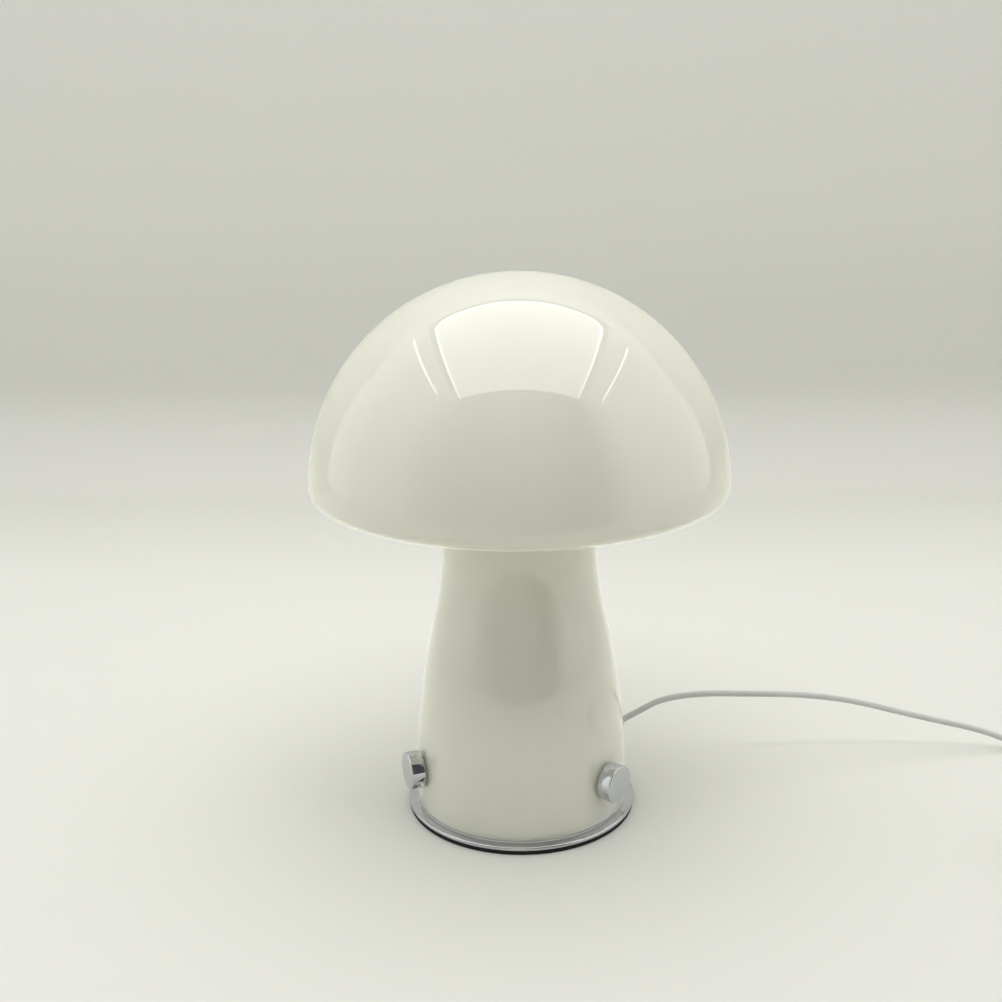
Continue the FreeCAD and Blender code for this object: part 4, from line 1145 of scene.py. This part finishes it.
TIE_T = 0.6
TIE_W = 5.0
TIE_GAP = 0.3
TIE_CORNER_R = 2.1
TIE_CORNER_STEPS = 6
TIE_BACK = 1.0  # how far before the first corner the tape starts
TIE_RAMP = (1.2, 0.2)  # where the tape begins to climb over its start: along and up
TIE_LIFT = 0.66  # how far the free end lies outside the first turn of tape
TIE_TAB = (1.5, 4.0)  # how far its last two points lie below the first corner
TIE_TAB_LEAN = 0.1  # how far the very end stands off
TIE_EDGE_R = 0.12
TIE_EDGE_TURN = 1.0  # radians: edges that turn more than this are rounded


def tie_route():
    """Once round the bundle and on over its own start, seen along the lead."""
    # The bundle's outermost and innermost leads, on the side across from the switch's line.
    outer_x = SWITCH_X - 2 * COIL_INNER_R - 2 * COIL_TURNS * COIL_PITCH
    inner_x = SWITCH_X - 2 * COIL_INNER_R - COIL_TURNS * COIL_PITCH
    clear = CORD_R + TIE_GAP + TIE_T / 2
    low = (outer_x - clear, COIL_Z - clear)
    high = (inner_x + clear, COIL_TOP_Z + clear)
    r = TIE_CORNER_R
    corners = [
        ((high[0] - r, high[1] - r), 90, 0),
        ((high[0] - r, low[1] + r), 0, -90),
        ((low[0] + r, low[1] + r), -90, -180),
        ((low[0] + r, high[1] - r), 180, 90),
    ]
    route = []
    for centre, start, end in corners:
        route += curve_points(centre, (r, r), start, end, TIE_CORNER_STEPS)
    start_x = route[0][0] - TIE_BACK
    route = [(start_x, high[1])] + route
    lifted = [(start_x - TIE_RAMP[0], high[1] + TIE_RAMP[1]), (start_x, high[1] + TIE_LIFT)]
    over = curve_points(corners[0][0], (r + TIE_LIFT, r + TIE_LIFT), 90, 0, TIE_CORNER_STEPS)
    side_x = high[0] + TIE_LIFT
    side_z = high[1] - r
    tab = [(side_x, side_z - TIE_TAB[0]), (side_x + TIE_TAB_LEAN, side_z - TIE_TAB[1])]
    return route + lifted + over + tab


def coil_tie():
    """A strip of hook-and-loop tape, laid round the bundle and over itself."""
    route = [(x * MM, 0.0, z * MM) for x, z in tie_route()]
    start = (route[0][0], (COIL_CENTRE_Y - TIE_W / 2) * MM, route[0][2])
    strip = vertex_piece("tape_tie", start)
    bpy.ops.mesh.extrude_region_move(TRANSFORM_OT_translate={"value": (0, TIE_W * MM, 0)})
    bpy.ops.mesh.select_all(action="SELECT")
    draw_out(route)
    weld(strip)
    apply_modifier(strip, "SOLIDIFY", thickness=TIE_T * MM, offset=0.0, use_even_offset=True)
    apply_modifier(
        strip,
        "BEVEL",
        width=TIE_EDGE_R * MM,
        segments=2,
        limit_method="ANGLE",
        angle_limit=TIE_EDGE_TURN,
    )
    return strip


finished(coil_tie(), "root", "strap_fabric", "coil_tie")

# ---------------------------------------------------------------- pieces kept from the frame

for subpart in frame["record"]["subparts"]:
    mesh = nodes[subpart["node"]].data
    mesh.materials.clear()
    mesh.materials.append(FINISHES[subpart["material_slot"]])
for node, finish in WIRE_COLOURS.items():
    nodes[node].data.materials[0] = finish

# ---------------------------------------------------------------- studio
# A light tent: white paper below and behind, a square diffuser in the roof with a strip
# lamp along each side of it, luminous cloth at both sides and in the rest of the roof, and
# an open front where the camera looks in. Its pieces are laid out in the camera's axes.

# Painted shade on the paper: its tone, darker from the floor into the cove and slightly lighter
# again up the wall, at points along its run, in metres from the lamp's axis back, then up the wall.
PAPER_PAINTED_SHADE_TONES = ((0.35, "#E0E0D9"), (0.7, "#D3D3CC"), (0.9, "#CFCFC8"), (1.0, "#D2D2CB"))
PAPER_NEAR = -3.0
PAPER_FAR = 0.62
PAPER_HALF_W = 3.0
COVE_R = 0.1
COVE_STEPS = 24
WALL_HEIGHT = 0.95
SHADING_SHARE = 0.01  # share of a flat stretch, beside the cove, that is shaded as bent
AIR_TONE = 0.48
ROOF_Z = 1.35
WINDOW_CENTRE = (0.012, 0.01)
WINDOW_SIZE = (1.41, 1.38)
WINDOW_CORNER = 0.16
WINDOW_CORNER_STEPS = 6
WINDOW_RIM = 0.028
WINDOW_GLOW = 1.95
RIM_GLOW = 3.6
ROOF_GLOW = 0.95
ROOF_GAP = 0.06
ROOF_HALF_W = 1.6
ROOF_FAR = 1.7
STRIP_GLOW = 3.6
STRIP_DROP = 0.01  # below the roof
STRIPS = {  # nearer left corner, farther right corner
    "left_strip": ((-0.955, -0.45), (-0.925, 0.66)),
    "right_strip": ((1.025, -0.58), (1.055, 0.55)),
}
FRONT_Y = -0.7
FRONT_HALF_W = 1.35
SIDE_GLOW = 1.0
FRONT_GLOW = 1.0  # at the brightest end of the open front
# Shares of that glow from the front's left end to its right end, with a dark doorway
# at the right, which the left knob mirrors.
FRONT_SHARES = (
    (0.0, 1.0),
    (0.12, 0.72),
    (0.3, 0.4),
    (0.54, 0.36),
    (0.64, 0.08),
    (0.735, 0.08),
    (0.8, 0.5),
    (0.9, 0.78),
    (1.0, 1.0),
)
FILL_PLACE = (0.0, -0.75, 1.2)
FILL_AIM = (0.0, 0.0, 0.15)
FILL_SIZE = (1.0, 0.5)
FILL_POWER = 7.0


def in_studio(piece):
    """Turn a stage piece from the camera's axes to the lamp's."""
    piece.data.transform(TO_STUDIO)
    return piece


def studio_place(tree, coords):
    """The place on a stage piece in the camera's axes, as X, Y and Z."""
    turned_back = add(tree, "Mapping", {"Vector": coords, "Rotation": (0, 0, -PHOTO_TURN)})
    return add(tree, "SeparateXYZ", {"Vector": turned_back.outputs["Vector"]})


def paper_material(name):
    """Matt backdrop paper with painted shade, its tone darkened along its run into the cove and up
    the wall, with the fine relief of its pulp.
    """
    material, tree = new_material(name)
    coords = add(tree, "TexCoord").outputs["Object"]
    place = studio_place(tree, coords)
    run = add(tree, "Math", {0: place.outputs["Y"], 1: place.outputs["Z"]}, operation="ADD")
    # Painted shade: the paper's colour darkens along its run towards the wall.
    painted_shade_ramp = add(tree, "ValToRGB", {"Fac": run.outputs["Value"]})
    stops = painted_shade_ramp.color_ramp.elements
    for reach, tone in PAPER_PAINTED_SHADE_TONES[1:-1]:
        stops.new(reach)
    for stop, (reach, tone) in zip(stops, PAPER_PAINTED_SHADE_TONES):
        stop.position = reach
        stop.color = srgb(tone)
    inputs = {
        "Base Color": painted_shade_ramp.outputs["Color"],
        "Roughness": 0.9,
        "Normal": ripple(tree, coords, 3, 0.02),
    }
    shader = add(tree, "BsdfPrincipled", inputs)
    add(tree, "OutputMaterial", {"Surface": shader.outputs["BSDF"]})
    return material


def glow_material(name, strength):
    """A plain luminous cloth."""
    material, tree = new_material(name)
    light = add(tree, "Emission", {"Strength": strength})
    add(tree, "OutputMaterial", {"Surface": light.outputs["Emission"]})
    return material


def paper_sweep():
    """Floor, cove and wall of one bent sheet."""
    sweep = vertex_piece("paper_sweep", (-PAPER_HALF_W, PAPER_NEAR, 0))
    bpy.ops.mesh.extrude_region_move(TRANSFORM_OT_translate={"value": (2 * PAPER_HALF_W, 0, 0)})
    bpy.ops.mesh.select_all(action="SELECT")
    level = PAPER_FAR - PAPER_NEAR
    for run in (level * (1 - SHADING_SHARE), level * SHADING_SHARE):
        bpy.ops.mesh.extrude_region_move(TRANSFORM_OT_translate={"value": (0, run, 0)})
    bpy.ops.mesh.spin(
        steps=COVE_STEPS, angle=math.radians(-90), center=(0, PAPER_FAR, COVE_R), axis=(1, 0, 0)
    )
    for rise in (WALL_HEIGHT * SHADING_SHARE, WALL_HEIGHT * (1 - SHADING_SHARE)):
        bpy.ops.mesh.extrude_region_move(TRANSFORM_OT_translate={"value": (0, 0, rise)})
    weld(sweep)
    bpy.ops.object.shade_smooth()
    sweep.data.materials.append(paper_material("backdrop_paper"))
    return in_studio(sweep)


def level_sheet(name, low, high, height, material):
    """A level luminous rectangle that the camera doesn't see."""
    bpy.ops.object.select_all(action="DESELECT")
    middle = [(a + b) / 2 for a, b in zip(low, high)]
    size = [b - a for a, b in zip(low, high)]
    bpy.ops.mesh.primitive_plane_add(size=1.0, location=(*middle, height))
    sheet = bpy.context.active_object
    sheet.name = sheet.data.name = name
    sheet.scale = (*size, 1.0)
    bpy.ops.object.transform_apply(location=True, rotation=True, scale=True)
    sheet.data.materials.append(material)
    sheet.visible_camera = False
    return sheet


def upright_sheet(name, foot, across, material):
    """An upright luminous rectangle from the floor to the roof that the camera doesn't see."""
    sheet = vertex_piece(name, foot)
    bpy.ops.mesh.extrude_region_move(TRANSFORM_OT_translate={"value": (0, 0, ROOF_Z)})
    bpy.ops.mesh.select_all(action="SELECT")
    bpy.ops.mesh.extrude_region_move(TRANSFORM_OT_translate={"value": across})
    weld(sheet)
    sheet.data.materials.append(material)
    sheet.visible_camera = False
    return in_studio(sheet)


def roof_window():
    """The diffuser: its two rear corners rounded, its rim brighter on three sides."""
    low = [c - s / 2 for c, s in zip(WINDOW_CENTRE, WINDOW_SIZE)]
    high = [c + s / 2 for c, s in zip(WINDOW_CENTRE, WINDOW_SIZE)]
    window = level_sheet(
        "roof_window", low, high, ROOF_Z, glow_material("diffuser_cloth", WINDOW_GLOW)
    )
    window.data.materials.append(glow_material("diffuser_rim", RIM_GLOW))
    bpy.ops.object.mode_set(mode="EDIT")
    bpy.ops.mesh.select_all(action="DESELECT")
    bpy.ops.object.mode_set(mode="OBJECT")
    for vertex in window.data.vertices:
        vertex.select = vertex.co.y > WINDOW_CENTRE[1]
    bpy.ops.object.mode_set(mode="EDIT")
    bpy.ops.mesh.select_mode(type="VERT")
    bpy.ops.mesh.bevel(offset=WINDOW_CORNER, segments=WINDOW_CORNER_STEPS, affect="VERTICES")
    bpy.ops.mesh.select_all(action="SELECT")
    bpy.ops.mesh.inset(thickness=WINDOW_RIM)
    bpy.ops.object.mode_set(mode="OBJECT")
    for face in window.data.polygons:
        in_rim = face.area < 0.5 * WINDOW_SIZE[0] * WINDOW_SIZE[1]
        face.material_index = int(in_rim and face.center.y > low[1] + WINDOW_RIM)
    return in_studio(window)


def front_material(name):
    """The room seen through the tent's open front: dim, and brighter towards both ends."""
    material, tree = new_material(name)
    coords = add(tree, "TexCoord").outputs["Object"]
    across = studio_place(tree, coords).outputs["X"]
    share = add(
        tree,
        "MapRange",
        {"Value": across, "From Min": -FRONT_HALF_W, "From Max": FRONT_HALF_W},
    )
    level = add(tree, "ValToRGB", {"Fac": share.outputs["Result"]})
    stops = level.color_ramp.elements
    for place, tone in FRONT_SHARES[1:-1]:
        stops.new(place)
    for stop, (place, tone) in zip(stops, FRONT_SHARES):
        stop.position = place
        stop.color = (tone, tone, tone, 1)
    light = add(tree, "Emission", {"Color": level.outputs["Color"], "Strength": FRONT_GLOW})
    add(tree, "OutputMaterial", {"Surface": light.outputs["Emission"]})
    return material


def front_fill():
    """A soft lamp above the opening, aimed at the cap, that no polished face mirrors."""
    data = bpy.data.lights.new("front_fill", "AREA")
    data.shape = "RECTANGLE"
    data.size, data.size_y = FILL_SIZE
    data.energy = FILL_POWER
    lamp = bpy.data.objects.new("front_fill", data)
    bpy.context.scene.collection.objects.link(lamp)
    way = Vector(FILL_AIM) - Vector(FILL_PLACE)
    aim = way.to_track_quat("-Z", "Y").to_matrix().to_4x4()
    lamp.matrix_world = TO_STUDIO @ Matrix.Translation(FILL_PLACE) @ aim
    lamp.visible_camera = False
    lamp.visible_glossy = False
    return lamp


paper_sweep()
front_fill()
roof_window()
half_hole = [size / 2 + ROOF_GAP for size in WINDOW_SIZE]
hole_left, hole_right = (WINDOW_CENTRE[0] + side * half_hole[0] for side in (-1, 1))
hole_far = WINDOW_CENTRE[1] + half_hole[1]
window_near = WINDOW_CENTRE[1] - WINDOW_SIZE[1] / 2
roof_cloth = glow_material("roof_cloth", ROOF_GLOW)
for name, low, high in (
    ("left_roof", (-ROOF_HALF_W, window_near), (hole_left, ROOF_FAR)),
    ("right_roof", (hole_right, window_near), (ROOF_HALF_W, ROOF_FAR)),
    ("rear_roof", (hole_left, hole_far), (hole_right, ROOF_FAR)),
):
    in_studio(level_sheet(name, low, high, ROOF_Z, roof_cloth))
strip_lamp = glow_material("strip_lamp", STRIP_GLOW)
for name, (low, high) in STRIPS.items():
    in_studio(level_sheet(name, low, high, ROOF_Z - STRIP_DROP, strip_lamp))
front_left = (-FRONT_HALF_W, FRONT_Y, 0)
front_right = (FRONT_HALF_W, FRONT_Y, 0)
upright_sheet("open_front", front_left, (2 * FRONT_HALF_W, 0, 0), front_material("unlit_room"))
side_cloth = glow_material("side_cloth", SIDE_GLOW)
for name, corner in (("left_side", front_left), ("right_side", front_right)):
    upright_sheet(name, corner, (0, ROOF_FAR - FRONT_Y, 0), side_cloth)

world = bpy.data.worlds.new("studio_world")
bpy.context.scene.world = world
world.use_nodes = True
world.node_tree.nodes.clear()
background = add(world.node_tree, "Background", {"Color": srgb("#FFFFFF"), "Strength": AIR_TONE})
add(world.node_tree, "OutputWorld", {"Surface": background.outputs["Background"]})
